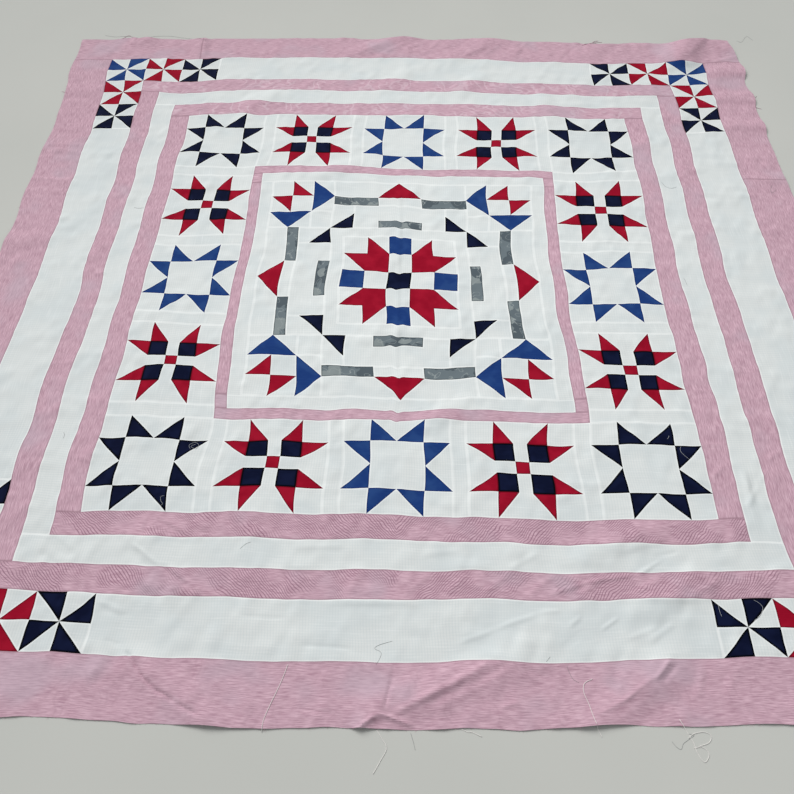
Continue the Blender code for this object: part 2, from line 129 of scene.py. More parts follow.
# Soft ridges, at draft places
FOLDS = (
    # x and y of one end, x and y of the other, half width, height
    (35, 38, 42.5, 50, 3.6, 20), (39, 46.5, 49, 41, 2.6, 8),
    (-28.4, 39, -28.4, 50, 1.9, 5), (-36.5, 42.5, -35.3, 50, 2.3, 7),
    (-10, 39.8, 6.5, 49.5, 2.2, 7), (4.5, 38.5, 18, 49.5, 2.2, 6),
    (24, 40, 31, 50, 2, 4), (38.5, 37.6, 51, 38.4, 2, 7),
    (38.5, 32.3, 51, 32.5, 2, 6), (38.5, 26.3, 51, 26.5, 2, 6),
    (39, 16.5, 51, 16.5, 1.8, 4), (-51, 32.8, -38.5, 33.2, 1.9, 5),
    (-51, 4.3, -39, 5.3, 1.9, 5), (-23, -38.5, -10, -48, 1.9, 6),
    (-1.2, -41.5, -2.4, -50, 2, 8), (13, -38.5, -4, -45, 2.4, 7),
    (24, -38, 11, -48.5, 2.2, 7), (-23.5, -28.5, -16.5, -36.5, 1.8, 4),
    (-22.5, 27.5, -15.5, 33, 2.4, 6), (17.2, 34, 20.2, 26, 1.9, 5),
    (-4, 32, 1.5, 38, 1.9, 4), (6, 31.5, 11.5, 37.5, 1.9, 4),
    (17.5, -37, 27.5, -32, 1.9, 4), (13, -32.5, 25, -27.5, 1.9, 4),
    (-12, 15.2, -4, 19.5, 1.9, 4), (0.5, -19.5, 7.5, -15.5, 1.9, 4),
)
FOLD_TAPER = 0.3  # share of a fold's length over which each end runs out

# Sharper creases, at laid places: small ridges, and troughs where the height is below 0
CREASES = (
    # x and y of one end, x and y of the other, half width, height
    # outer border, top
    (-28.9, 46.6, -28.1, 40.4, 0.45, 2.2), (-28, 46.4, -27.4, 40.8, 0.45, -1),
    (-38.9, 46.6, -38.6, 43.6, 0.6, 3), (-26, 40.6, -22.6, 43.2, 0.45, 1.4),
    (-8.8, 40.9, -3.2, 44.7, 0.5, 1.8), (-4.6, 41.5, 0.4, 45.4, 0.5, 1.8),
    (-0.4, 42.7, 3.4, 45.4, 0.5, -1.6), (1.6, 41.5, 4.9, 46.4, 0.5, 1.6),
    (6.4, 40.6, 11.4, 44.4, 0.5, 1.8), (9.6, 41.1, 13.4, 45.4, 0.5, 1.5),
    (14.2, 41.5, 17.4, 46.4, 0.5, 1.6), (20.6, 40.5, 23, 43.9, 0.45, -1.6),
    (22.2, 43.2, 25.4, 46, 0.45, -1.4), (30.8, 45.4, 32.7, 43, 0.45, 1.4),
    (37.4, 40.6, 42.4, 47, 0.8, 2.2), (41.4, 40.8, 46, 42.2, 0.55, 1.8),
    # middle rose border, top: short ridges that lean with the stretched weave
    (-28.2, 33.4, -25.8, 36.2, 0.45, 1.2), (-25.2, 33.4, -22.8, 36.2, 0.45, 1.4),
    (-23, 33.4, -20.8, 36.2, 0.45, 1.2), (-19.3, 33.6, -16.8, 36.4, 0.45, 1.4),
    (-17.2, 33.6, -14.8, 36.4, 0.45, 1.2), (-14.2, 33.8, -11.8, 36.6, 0.45, 1.4),
    (-11.3, 33.8, -8.8, 36.6, 0.45, 1.2), (-6.2, 33.8, -3.8, 36.6, 0.45, 1.4),
    (-0.6, 33.6, 2, 36.4, 0.45, 1.2), (5, 33.4, 7.6, 36.2, 0.45, 1.2),
    (18.6, 35.4, 21.4, 32.9, 0.45, 1.4), (22.1, 35.4, 24.4, 32.7, 0.45, 1.3),
    (25.6, 35.4, 28.4, 32.7, 0.45, 1.4), (31.6, 34.9, 33.9, 32.9, 0.45, 1.4),
    (33.1, 33.4, 34.9, 31.6, 0.45, -1.2),
    # inner rose border, top
    (-18.4, 28.6, -15.6, 31.6, 0.45, 1.4), (-15.3, 28.6, -13.1, 31.6, 0.45, 1.2),
    (-12.3, 28.6, -9.6, 31.6, 0.45, 1.4), (18.1, 31.4, 20, 27.6, 0.45, -1.6),
    (17.3, 31.2, 19, 27.9, 0.45, 1.2), (14.1, 30.2, 18.4, 28, 0.45, 1.4),
    (19.6, 30.3, 23.4, 28, 0.45, 1.4), (24.6, 30.2, 28.9, 28.2, 0.45, 1.4),
    # outer border, bottom: the curved trough at the left
    (-21.4, -40, -19.8, -41.9, 0.24, -4), (-20.2, -41.5, -18.4, -43.1, 0.24, -4.6),
    (-18.9, -42.8, -16.5, -44.1, 0.24, -4.6), (-17, -43.9, -14.7, -44.9, 0.24, -3.6),
    # the tuck in the edge, and the trough above it
    (-3.8, -46.2, -1.1, -44.4, 0.28, 4.4), (-1.6, -44.4, 1.6, -45.4, 0.28, 4.2),
    (-1.3, -44.5, -1.9, -47.4, 1.1, -6), (-0.2, -40.6, -0.4, -42.9, 0.26, -1.6),
    (-0.3, -41.4, -0.9, -44.4, 0.26, -2.6),
    # the long ridge beside the tuck
    (-0.6, -44.7, 3.2, -42.8, 0.46, 2.6), (1.4, -43.7, 5.6, -41.5, 0.46, 3),
    (4, -42.4, 7.6, -40.3, 0.46, 2.8), (2, -44, 6, -42.1, 0.5, -2.2),
    (5, -42.6, 9.2, -40.4, 0.5, -2),
    # dents between it and the right ridge
    (-8, -44.1, -4.2, -44.7, 0.26, -1.4), (7.8, -43.9, 9.5, -43.4, 0.28, 2),
    (8.9, -43.4, 10.2, -44.2, 0.28, 1.4), (9.6, -40.9, 12.4, -41.9, 0.4, -1.2),
    # the ridge at the right
    (21.4, -39.9, 19.6, -41.9, 0.28, 3.6), (21.9, -40.2, 20.2, -42, 0.3, -2.4),
    (20.3, -41.1, 16.8, -43.5, 0.26, 1.8), (18.4, -42.5, 14.6, -44.6, 0.26, 1.6),
    (19.6, -42.3, 15.8, -44.6, 0.44, -0.8), (23.9, -40.2, 22.6, -43.4, 0.6, 2.2),
    (26.4, -40.4, 25, -43, 0.6, 1.6),
    # middle rose border, bottom
    (-32.6, -32.7, -30.2, -35.4, 0.45, 1.2), (-30.2, -32.7, -27.8, -35.4, 0.45, 1.2),
    (-27.8, -32.7, -25.4, -35.4, 0.45, 1.2), (-25.2, -32.7, -22.9, -35.4, 0.45, 1.2),
    (-22.8, -32.7, -20.2, -35.4, 0.45, 1.4), (-20.1, -32.8, -16.7, -35.5, 0.3, -2.6),
    (-19.4, -32.9, -16.2, -35.3, 0.3, 2.2), (0.4, -35.4, 3, -32.9, 0.45, 1.2),
    (3.4, -35.4, 6.2, -32.9, 0.45, 1.2), (6.6, -35.4, 9.6, -32.9, 0.45, 1.3),
    (10.2, -35.4, 13.4, -32.9, 0.45, 1.3), (14.4, -35.3, 17.6, -32.9, 0.45, 1.3),
    (18.6, -35.3, 22.2, -33, 0.45, 1.3), (23.4, -35.3, 27.2, -33, 0.45, 1.3),
    # inner rose border, and the white beside it, bottom
    (-21.4, -28.6, -18.2, -30.6, 0.26, -2.6), (-20.8, -28.5, -17.8, -30.4, 0.28, 2),
    (-22, -28.6, -21.8, -30.6, 0.4, -1.4), (-18.4, -28.6, -16.7, -30.4, 0.28, -1.6),
    (-23.2, -30.8, -19.5, -33.3, 0.3, 2.2), (-23.6, -31.4, -20.4, -33.4, 0.45, -1.4),
    (-30.4, -30.5, -27.2, -32.5, 0.6, -2.4), (-30.6, -31.6, -28.3, -33.8, 0.5, -1.8),
    (22.5, -31.6, 19.4, -33.3, 0.28, 2.2), (19.9, -33.1, 15, -34, 0.3, 2),
    (16.4, -33.6, 12, -35.1, 0.3, 1.8), (18, -31.4, 23.6, -29.6, 0.5, 1),
    (21.4, -31.6, 23.8, -30.9, 0.24, -1.4), (20.7, -32.8, 22.5, -31.6, 0.45, -1.2),
    (-9.2, -31.2, -3.9, -30.9, 0.5, 1.3), (1.5, -31.7, 5.5, -31.2, 0.5, 1.1),
    (9, -32.9, 12, -31.3, 0.45, 1.1), (30.9, -22.6, 30.8, -27, 0.6, 3),
    (31.4, -22.8, 31.3, -30.6, 0.6, -1.6),
    # left borders: level creases across the strips
    (-45.4, 22, -39.6, 22, 0.3, 1.4), (-45.4, 20.4, -39.6, 19.9, 0.55, -1),
    (-45.4, 15.8, -39.4, 15.2, 0.5, 2.2), (-45.4, 26.1, -39.8, 25.8, 0.3, 1),
    (-33.8, 0.1, -32.3, 0.4, 0.28, 2),
    # storage fold down the middle of the medallion
    (-0.7, 22, -0.6, -22, 0.26, 1.2), (-0.3, 22, -0.2, -22, 0.26, -0.8),
    # rose borders, left and right
    (27.7, -24.1, 29.4, -22.5, 0.28, 2), (27.8, -14.2, 30.2, -14.4, 0.24, 1.6),
    (27.5, -20.4, 30, -20.4, 0.24, 1.8), (32.2, -14.2, 33.5, -15.6, 0.28, 1.8),
    (33.5, -15.6, 35.1, -14.7, 0.26, 1.6), (32.8, -19.5, 34.3, -19.9, 0.24, 1.4),
    (33.1, -22.1, 34.9, -20.9, 0.28, 1.8), (32.9, -9.5, 34.6, -10.1, 0.26, 1.4),
    (-30.2, -22.5, -27.9, -23.2, 0.28, 2),
    # white border, right: the long dent beside the lower corner
    (30.1, -27, 32, -24.5, 0.35, 1.8), (32, -24.5, 33, -23, 0.3, 1.4),
    # white border, bottom: short level dents, and creases that lean up to the right
    (-13.1, -37.2, -8.6, -37.3, 0.24, -1), (-8.2, -39.4, -3.1, -39.7, 0.24, -1),
    (9.5, -35.8, 13.5, -35.5, 0.24, -0.9), (16.1, -37.9, 17.9, -36.7, 0.26, 1.4),
    (13.6, -37.6, 14.9, -36.7, 0.3, 1.2), (11.2, -36.5, 13.4, -36.3, 0.3, 1),
    (4.4, -39.2, 8.2, -37.8, 0.32, 1.1), (7.6, -38, 11.5, -36.5, 0.32, 1.3),
    (17.9, -38.6, 21, -37.4, 0.35, 0.9),
    # soft level swells along its upper seam, and creases at its left end
    (-5.9, -35.9, 2.6, -35.8, 0.55, 1.8), (18.3, -35.2, 25.3, -35.1, 0.6, 2.2),
    (-24.9, -35.9, -22, -37.2, 0.45, 1.4), (-24.4, -36.7, -21, -37.7, 0.5, -1),
    (-23.4, -39.2, -21.7, -39.7, 0.22, -1), (19.6, -38.9, 22.4, -37, 0.4, 1.1),
    (12.8, -39.4, 15.4, -37.6, 0.4, -1.1),
)

# Unevenness that no ironing takes out: how many waves, how long each is in inches, from the shortest
# to the longest, and how steep, as its rise for each unit along
SWELLS = (16, (2.5, 7.5), 0.011)
RIPPLES = (12, (0.9, 2.4), 0.034)  # these gather where the cloth swells up
PUCKERS = (10, (0.7, 1.5), 0.026)  # these are beside the seams
STRAYS = (9, (2.2, 6.0), 0.02)  # sideways, by which hand-guided seams stray from straight
PUCKER_REACH = 0.5  # inches from a seam over which its puckers fade
FULL_SWELL = 0.001  # metres: a swell this high carries its ripples at their full height
FAINTEST = 0.25  # share of the ripples' height that is left in a hollow
CLOTH = 0.0009  # metres: thickness of the cloth
LOWEST = CLOTH + 0.0002  # metres from the floor to the top of the lowest cloth
TOP = 0.0021  # metres from the floor to the top of cloth that lies flat


def bell(share):
    """A smooth hump: 1 in the middle, 0 from a share of 1 outwards."""
    return np.cos(np.pi / 2 * np.clip(np.abs(share), 0, 1)) ** 2


def along_fold(x, y, fold):
    """The height in metres that one fold or crease adds at each place."""
    x0, y0, x1, y1, half_width, height = fold
    length = math.hypot(x1 - x0, y1 - y0)
    east, north = (x1 - x0) / length, (y1 - y0) / length
    run = ((x - x0) * east + (y - y0) * north) / length
    aside = (y - y0) * east - (x - x0) * north
    past_middle = np.abs(2 * run - 1)
    end = bell((past_middle - (1 - 2 * FOLD_TAPER)).clip(0) / (2 * FOLD_TAPER))
    return height / 1000 * bell(aside / half_width) * end


def lay(x, y):
    """Where places of the draft come to lie: x and y in inches, and the height of the folds in metres."""
    right, up = np.zeros(x.shape), np.zeros(x.shape)
    for pulls, reach, slack in ((PULLS, PULL_REACH, PULL_SLACK), (NUDGES, NUDGE_REACH, NUDGE_SLACK)):
        weight = np.full(x.shape, slack)
        pulled_right, pulled_up = np.zeros(x.shape), np.zeros(x.shape)
        for at_x, at_y, pull_right, pull_up in pulls:
            near = np.exp(-((x - at_x) ** 2 + (y - at_y) ** 2) / (2 * reach ** 2))
            weight += near
            pulled_right += near * pull_right
            pulled_up += near * pull_up
        right += pulled_right / weight
        up += pulled_up / weight
    for at_x, at_y, tug_right, tug_up, reach in TUGS:
        near = bell(np.hypot(x - at_x, y - at_y) / reach)
        right += near * tug_right
        up += near * tug_up
    right += WAVER * np.sin(2 * np.pi * y / WAVER_LENGTH[0] + WAVER_DRIFT * x)
    up += WAVER * np.sin(2 * np.pi * x / WAVER_LENGTH[1] - WAVER_DRIFT * y)
    height = np.zeros(x.shape)
    for fold in FOLDS:
        height = np.maximum(height, along_fold(x, y, fold))
    return x + right, y + up, height


# The top was folded down its middle for storage, which has drawn the seams there a little aside
STORAGE_FOLD = -0.1  # x of the fold, in inches
LEFT_OF_FOLD = -0.8  # x of the smaller jog beside it
JOG = 0.2  # inches that the fold draws a seam down, and half as much up to its left
JOG_REACH = 0.5
JOG_SPAN = (-3, 13, 5)  # y of the fold's middle, how far it runs each way, and where it fades out


def waves(seed, count, lengths, slope):
    """Waves in every direction, drawn from one seed: x and y turns for each inch, phase, height in metres."""
    draw = np.random.default_rng(seed)
    length = draw.uniform(*lengths, count)
    heading = draw.uniform(0, 2 * np.pi, count)
    phase = draw.uniform(0, 2 * np.pi, count)
    x_turn, y_turn = 2 * np.pi * np.cos(heading) / length, 2 * np.pi * np.sin(heading) / length
    return list(zip(x_turn, y_turn, phase, slope * length * INCH / (2 * np.pi)))


def sum_of(all_waves, x, y):
    """The height in metres of all the waves together, at laid places in inches."""
    return sum(height * np.sin(x_turn * x + y_turn * y + phase)
               for x_turn, y_turn, phase, height in all_waves)


swells = waves(3, *SWELLS)
puckers = waves(8, *PUCKERS)
ripples = waves(14, *RIPPLES)
strays = [waves(seed, *STRAYS) for seed in (17, 29)]

# The frame has the middle of the laid quilt's outline on its origin, not the middle of the draft
rim = np.linspace(-EDGE, EDGE, 400)
outline_x = np.concatenate([lay(np.full(rim.shape, side * EDGE), rim)[0] for side in (-1, 1)])
outline_y = np.concatenate([lay(rim, np.full(rim.shape, side * EDGE))[1] for side in (-1, 1)])
middle_x = (outline_x.min() + outline_x.max()) / 2
middle_y = (outline_y.min() + outline_y.max()) / 2


def lie(x, y, seam):
    """The top of the cloth in metres, at draft places and their distances from a seam, in inches."""
    laid_x, laid_y, height = lay(x, y)
    middle, run, fade = JOG_SPAN
    jog = bell((x - STORAGE_FOLD) / JOG_REACH) - bell((x - LEFT_OF_FOLD) / JOG_REACH) / 2
    laid_y -= JOG * jog * bell((np.abs(y - middle) - run).clip(0) / fade)
    swell = sum_of(swells, laid_x, laid_y)
    rippled = (0.5 + swell / (2 * FULL_SWELL)).clip(FAINTEST, 1)
    height = height + TOP + swell + sum_of(ripples, laid_x, laid_y) * rippled
    for crease in CREASES:
        height += along_fold(laid_x, laid_y, crease)
    height += sum_of(puckers, laid_x, laid_y) * np.exp(-seam / PUCKER_REACH)
    height = np.maximum(height, LOWEST)
    right, up = [sum_of(stray, laid_x, laid_y) for stray in strays]
    return (laid_x - middle_x) * INCH + right, (laid_y - middle_y) * INCH + up, height


def linear(shade):
    """An sRGB hex colour as linear red, green, blue and alpha."""
    parts = [int(shade[start:start + 2], 16) / 255 for start in (1, 3, 5)]
    return [part / 12.92 if part <= 0.04045 else ((part + 0.055) / 1.055) ** 2.4 for part in parts] + [1]


def add(tree, kind, inputs, output=0, **settings):
    """Adds a shader node with its settings, sets or links its inputs, and gives back one of its outputs."""
    made = tree.nodes.new("ShaderNode" + kind)
    for setting, value in settings.items():
        setattr(made, setting, value)
    for socket, value in inputs.items():
        if isinstance(value, bpy.types.NodeSocket):
            tree.links.new(value, made.inputs[socket])
        else:
            made.inputs[socket].default_value = value
    return made.outputs[output]


def new_finish(name, roughness, specular):
    """A new material with an even roughness and highlight: itself, its node tree and its shader."""
    finish = bpy.data.materials.new(name)
    finish.use_nodes = True
    shader = finish.node_tree.nodes["Principled BSDF"]
    shader.inputs["Roughness"].default_value = roughness
    shader.inputs["Specular IOR Level"].default_value = specular
    return finish, finish.node_tree, shader


def wash(tree, colour, shade, pattern, low, high, at_low=0, at_high=1, blend="SMOOTHSTEP"):
    """Lays a shade over a colour: at_low of it where a pattern is low, and at_high where that is high."""
    levels = {0: pattern, 1: low, 2: high, 3: at_low, 4: at_high}
    share = add(tree, "MapRange", levels, interpolation_type=blend)
    return add(tree, "Mix", {0: share, 6: colour, 7: linear(shade)}, 2, data_type="RGBA")


THREAD = 0.0016  # metres: a plain weave has a thread each 0.4 mm, drawn coarser so that it shows
THICK_THREAD = 0.006  # metres from one thicker thread of the weave to the next
WAVE = math.pi / 10  # the scale at which a wave texture repeats once a metre


def new_cotton(name):
    """A matt plain-weave cotton: its material, node tree, cloth coordinates, shader and seam distance."""
    cotton, tree, shader = new_finish(name, 0.9, 0.05)
    place = add(tree, "UVMap", {}, uv_map="UVMap")
    warp = add(tree, "TexWave", {"Vector": place, "Scale": WAVE / THREAD}, 1, bands_direction="X")
    weft = add(tree, "TexWave", {"Vector": place, "Scale": WAVE / THREAD}, 1, bands_direction="Y")
    weave = add(tree, "Math", {0: warp, 1: weft}, operation="MULTIPLY")
    relief = add(tree, "Bump", {"Height": weave, "Strength": 0.3, "Distance": 0.0002})
    tree.links.new(relief, shader.inputs["Normal"])
    return cotton, tree, place, shader, add(tree, "Attribute", {}, 2, attribute_name="seam")


def dyed_cotton(name, shade, worn_shade, seam_shadow_shade, edge):
    """Piece-dyed quilting cotton: an even matt colour with faint paler wear, and darker along its seams,
    partly from the cloth turned under there and partly painted shade where the seam dips.

    The edge is how far from a seam, in metres, the turned-under cloth and the painted shade darken it.
    """
    cotton, tree, place, shader, seam = new_cotton(name)
    wear = add(tree, "TexNoise", {"Vector": place, "Scale": 1 / 0.045})
    colour = wash(tree, linear(shade), worn_shade, wear, 0.42, 0.62)
    long_way = add(tree, "VectorMath", {0: place, 1: (0.1, 1, 1)}, operation="MULTIPLY")
    slub = add(tree, "TexNoise", {"Vector": long_way, "Scale": 1 / 0.003, "Detail": 1})
    colour = wash(tree, colour, worn_shade, slub, 0.5, 0.75, 0, 0.5)
    # Painted shade: darker towards each seam, for the shadow in its dip over the turned-under cloth
    colour = wash(tree, colour, seam_shadow_shade, seam, 0.25 * edge, edge, 1, 0)
    tree.links.new(colour, shader.inputs["Base Color"])
    return cotton


ALLOWANCE = 0.28  # inches that a pressed seam allowance reaches to each side


def bleached_cotton():
    """Bleached white cotton: thin, so greyer where it lies single, and whitest over a seam allowance."""
    cotton, tree, place, shader, seam = new_cotton("bleached_white_cotton")
    single, shaded, double, rib_shadow = linear("#D7DBDB"), "#CED5D7", "#EEF1F1", "#C3CDD0"
    patchy = add(tree, "TexNoise", {"Vector": place, "Scale": 1 / 0.11})
    colour = wash(tree, single, shaded, patchy, 0.4, 0.65, 0, 0.7)
    long_way = add(tree, "VectorMath", {0: place, 1: (0.06, 1, 1)}, operation="MULTIPLY")
    slub = add(tree, "TexNoise", {"Vector": long_way, "Scale": 1 / 0.0035, "Detail": 1})
    colour = wash(tree, colour, double, slub, 0.5, 0.75, 0, 0.22)
    # Painted shade: thin darker lines where each thicker thread stands up and casts a shadow
    for way, strength in (("X", 0.35), ("Y", 0.18)):
        rib = add(tree, "TexWave", {"Vector": place, "Scale": WAVE / THICK_THREAD, "Distortion": 0.8}, 1,
                  bands_direction=way)
        colour = wash(tree, colour, rib_shadow, rib, 0.55, 1, 0, strength)
    pressed = add(tree, "Attribute", {}, 2, attribute_name="pressed")
    reach = ALLOWANCE * INCH
    colour = wash(tree, colour, double, pressed, 0.3 * reach, 0.65 * reach, 0.4, 0)
    colour = wash(tree, colour, double, seam, 0.0012, 0.0038, 0.6, 0)
    tree.links.new(colour, shader.inputs["Base Color"])
    return cotton


cloths = {
    "white": bleached_cotton(),
    "red": dyed_cotton("crimson_cotton", "#8E0B25", "#99122B", "#6E081D", 0.0035),
    "blue": dyed_cotton("royal_blue_cotton", "#1B3872", "#25437A", "#132B63", 0.0035),
    "navy": dyed_cotton("navy_cotton", "#0A1029", "#101733", "#010206", 0.006),
}
CELL = 0.21  # inches: the longest side of a face
FINE_CELL = 0.14  # the same where the creases are sharpest
SEAM_ROLL = 0.0003  # metres that the turned cloth beside a seam stands up
SEAM_DIP = 0.00025  # metres that the stitching draws the seam itself down
DIP_REACH = 0.1  # inches


def even_lines(start, end, stops, cell):
    """Places from start to end by way of every stop between them, in even steps of a cell or less."""
    stops = sorted({start, end, *(stop for stop in stops if start < stop < end)})
    lines = [start]
    for near, far in zip(stops, stops[1:]):
        count = math.ceil((far - near) / cell)
        lines += [near + (far - near) * step / count for step in range(1, count + 1)]
    return lines


def sides_of(corners):
    """The edges of an outline, from corner to corner."""
    return list(zip(corners, corners[1:] + corners[:1]))


def box_of(left, bottom, right, top):
    """The corners of a box, from the lower left round to the upper left."""
    return [(left, bottom), (right, bottom), (right, top), (left, top)]


def from_seams(places, seams):
    """How far each place is from the nearest seam, in inches."""
    nearest = np.full(len(places), 9.0)
    for start, end in seams:
        run = np.subtract(end, start)
        share = np.clip((places - start) @ run / (run @ run), 0, 1)
        nearest = np.minimum(nearest, np.hypot(*(places - start - share[:, None] * run).T))
    return nearest


def inside(places, corners):
    """Whether each place is inside a patch."""
    turns = np.array([(bx - ax) * (places[:, 1] - ay) - (by - ay) * (places[:, 0] - ax)
                      for (ax, ay), (bx, by) in sides_of(corners)])
    return np.all(turns > 0, axis=0) | np.all(turns < 0, axis=0)


def sew(node, box, ground, patches=(), pressed=(), upright=False, runs_on=0, cell=CELL):
    """Makes one block or strip: cut to its box, pieced from its patches, and laid in its node's place.

    A box is left, bottom, right and top, in inches. A patch is its cloth and its corners. Pressed seams
    lie between white and white. An upright strip has its long threads running up the quilt. The cloth
    runs on without a seam past a level side at the distance runs_on from the middle. No face is longer
    than a cell.
    """
    left, bottom, right, top = box
    corners = [corner for _, outline in patches for corner in outline]
    corners += [end for seam in pressed for end in seam]
    columns = even_lines(left, right, [x for x, _ in corners], cell)
    rows = even_lines(bottom, top, [y for _, y in corners], cell)
    bpy.ops.object.select_all(action="DESELECT")
    bpy.ops.mesh.primitive_grid_add(x_subdivisions=len(columns) - 1, y_subdivisions=len(rows) - 1, size=2)
    piece = bpy.context.object
    piece.name = piece.data.name = node + "_cloth"
    mesh = piece.data

    # The grid's even lines move to the draft's, and each slanted seam is cut across its own rectangle
    pieced = bmesh.new()
    pieced.from_mesh(mesh)
    for vertex in pieced.verts:
        for axis, lines in enumerate((columns, rows)):
            vertex.co[axis] = np.interp(vertex.co[axis], np.linspace(-1, 1, len(lines)), lines)
    for _, outline in patches:
        for (ax, ay), (bx, by) in sides_of(outline):
            if ax == bx or ay == by:
                continue
            crossed = []
            for face in pieced.faces:
                x, y, _ = face.calc_center_median()
                if min(ax, bx) < x < max(ax, bx) and min(ay, by) < y < max(ay, by):
                    crossed.append(face)
            around = {part for face in crossed for part in (*face.verts, *face.edges)}
            bmesh.ops.bisect_plane(pieced, geom=crossed + list(around), dist=0.0001,
                                   plane_co=(ax, ay, 0), plane_no=(by - ay, ax - bx, 0))
    pieced.to_mesh(mesh)
    pieced.free()

    # Each face takes the cloth of the patch that it is in
    kinds = [ground] + sorted({cloth for cloth, _ in patches} - {ground})
    for cloth in kinds:
        mesh.materials.append(cloths[cloth])
    centres = np.array([face.center[:2] for face in mesh.polygons])
    chosen = np.zeros(len(centres), np.int32)
    for cloth, outline in patches:
        chosen[inside(centres, outline)] = kinds.index(cloth)
    mesh.polygons.foreach_set("material_index", chosen)

    # The quilt's outermost edges are raw, not seams, and a seam between two pieces of one cloth isn't edged:
    # only edged seams darken coloured cloth with painted shade, and pale the white
    draft = np.array([vertex.co[:2] for vertex in mesh.vertices])
    sides = [(cloth, *side) for cloth, outline in patches for side in sides_of(outline)]
    edged = [(start, end) for cloth, start, end in sides if (cloth, end, start) not in sides]
    seams = [(start, end) for _, start, end in sides] + list(pressed)
    for start, end in sides_of(box_of(*box)):
        raw = any(start[axis] == end[axis] and abs(end[axis]) == EDGE for axis in (0, 1))
        if raw or start[1] == end[1] and abs(end[1]) == runs_on:
            continue
        seams.append((start, end))
        if not any({start, end} == {tuple(place) for place in seam} for seam in pressed):
            edged.append((start, end))
    from_seam = from_seams(draft, seams)
    for name, lines in (("seam", edged), ("pressed", pressed)):
        mesh.attributes.new(name, "FLOAT", "POINT").data.foreach_set("value", from_seams(draft, lines) * INCH)
    vertex_of = np.zeros(len(mesh.loops), np.int32)
    mesh.loops.foreach_get("vertex_index", vertex_of)
    threads = draft[:, ::-1] if upright else draft
    mesh.uv_layers[0].name = "UVMap"
    mesh.uv_layers[0].data.foreach_set("uv", (threads[vertex_of] * INCH).ravel())

    x, y, z = lie(draft[:, 0], draft[:, 1], from_seam)
    z += SEAM_ROLL * np.exp(-(from_seam / ALLOWANCE) ** 2) - SEAM_DIP * np.exp(-(from_seam / DIP_REACH) ** 2)
    mesh.vertices.foreach_set("co", np.column_stack([x, y, z]).ravel())
    mesh.update()
    thickness = piece.modifiers.new("thickness", "SOLIDIFY")
    thickness.thickness = CLOTH
    thickness.offset = -1
    bpy.ops.object.modifier_apply(modifier=thickness.name)
    bpy.ops.object.shade_smooth_by_angle(angle=math.radians(40))
    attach(piece, "root")
    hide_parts(node)


def charted(left, top, rows, sizes=(PATCH,) * 5):
    """Patches from a chart. A cell is a letter for its cloth, then a dot where it is whole.

    Half a cell has a digit for the corner that it fills, counted from the lower left round to the upper
    left. The sizes are of the cells, both along a row and from row to row.
    """
    patches = []
    letters = {"r": "red", "b": "blue", "n": "navy"}
    for height, row in zip(sizes, rows):
        at = left
        for width, cell in zip(sizes, row.split()):
            ring = box_of(at, top - height, at + width, top)
            if cell[1] != ".":
                del ring[(int(cell[1]) + 1) % 4]
            if cell[0] != "w":
                patches.append((letters[cell[0]], ring))
            at += width
        top -= height
    return patches


centre_seams = [side for half in (BLOCK, CENTRE) for side in sides_of(box_of(-half, -half, half, half))]
sew("medallion_centre", (-CENTRE, -CENTRE, CENTRE, CENTRE), "white",
    charted(-BLOCK, BLOCK, (
        "w. r1 b. r2 w.",
        "r3 r. w. r. r4",
        "b. w. n. w. b.",
        "r2 r. w. r. r1",
        "w. r4 b. r3 w.",
    )), centre_seams)

# ----------------------------------------
# Side blocks of the medallion
# White cotton, each block with a red goose pointing outwards, three bars of a grey camouflage
# print beside and behind it, and a navy point at each inner corner.
MEDALLION = CENTRE + 3 * PATCH  # from the middle to the outer seam of the corner and side blocks
GOOSE = MEDALLION - PATCH  # from the middle to the base of a red goose
BAR = PATCH / 2  # width of a grey bar
POINT = CENTRE - PATCH  # from the middle line to a navy point


def camouflage_cotton():
    """Cotton printed in three flat greys: bent blots three or four centimetres wide, and some pale lines."""
    cotton, tree, place, shader, seam = new_cotton("grey_camouflage_cotton")
    bend = add(tree, "TexNoise", {"Vector": place, "Scale": 1 / 0.025, "Detail": 1}, 1)
    bent = add(tree, "VectorMath", {0: bend, 1: (0.03, 0.03, 0), 2: place}, operation="MULTIPLY_ADD")
    blot = add(tree, "TexVoronoi", {"Vector": bent, "Scale": 1 / 0.036}, 1)
    blot = add(tree, "SeparateColor", {0: blot})
    colour = wash(tree, linear("#525C63"), "#69747A", blot, 0.38, 0.39, blend="LINEAR")
    colour = wash(tree, colour, "#838C8E", blot, 0.72, 0.73, blend="LINEAR")
    squiggle = add(tree, "TexNoise", {"Vector": place, "Scale": 1 / 0.026, "Detail": 1})
    squiggle = add(tree, "Math", {0: squiggle, 1: 0.58}, operation="SUBTRACT")
    squiggle = add(tree, "Math", {0: squiggle}, operation="ABSOLUTE")
    colour = wash(tree, colour, "#A2AAAA", squiggle, 0.006, 0.014, 0.6, 0, "LINEAR")
    # Painted shade: darker towards each seam, for the shadow in its dip over the turned-under cloth
    colour = wash(tree, colour, "#454F52", seam, 0.0008, 0.003, 1, 0)
    tree.links.new(colour, shader.inputs["Base Color"])
    return cotton


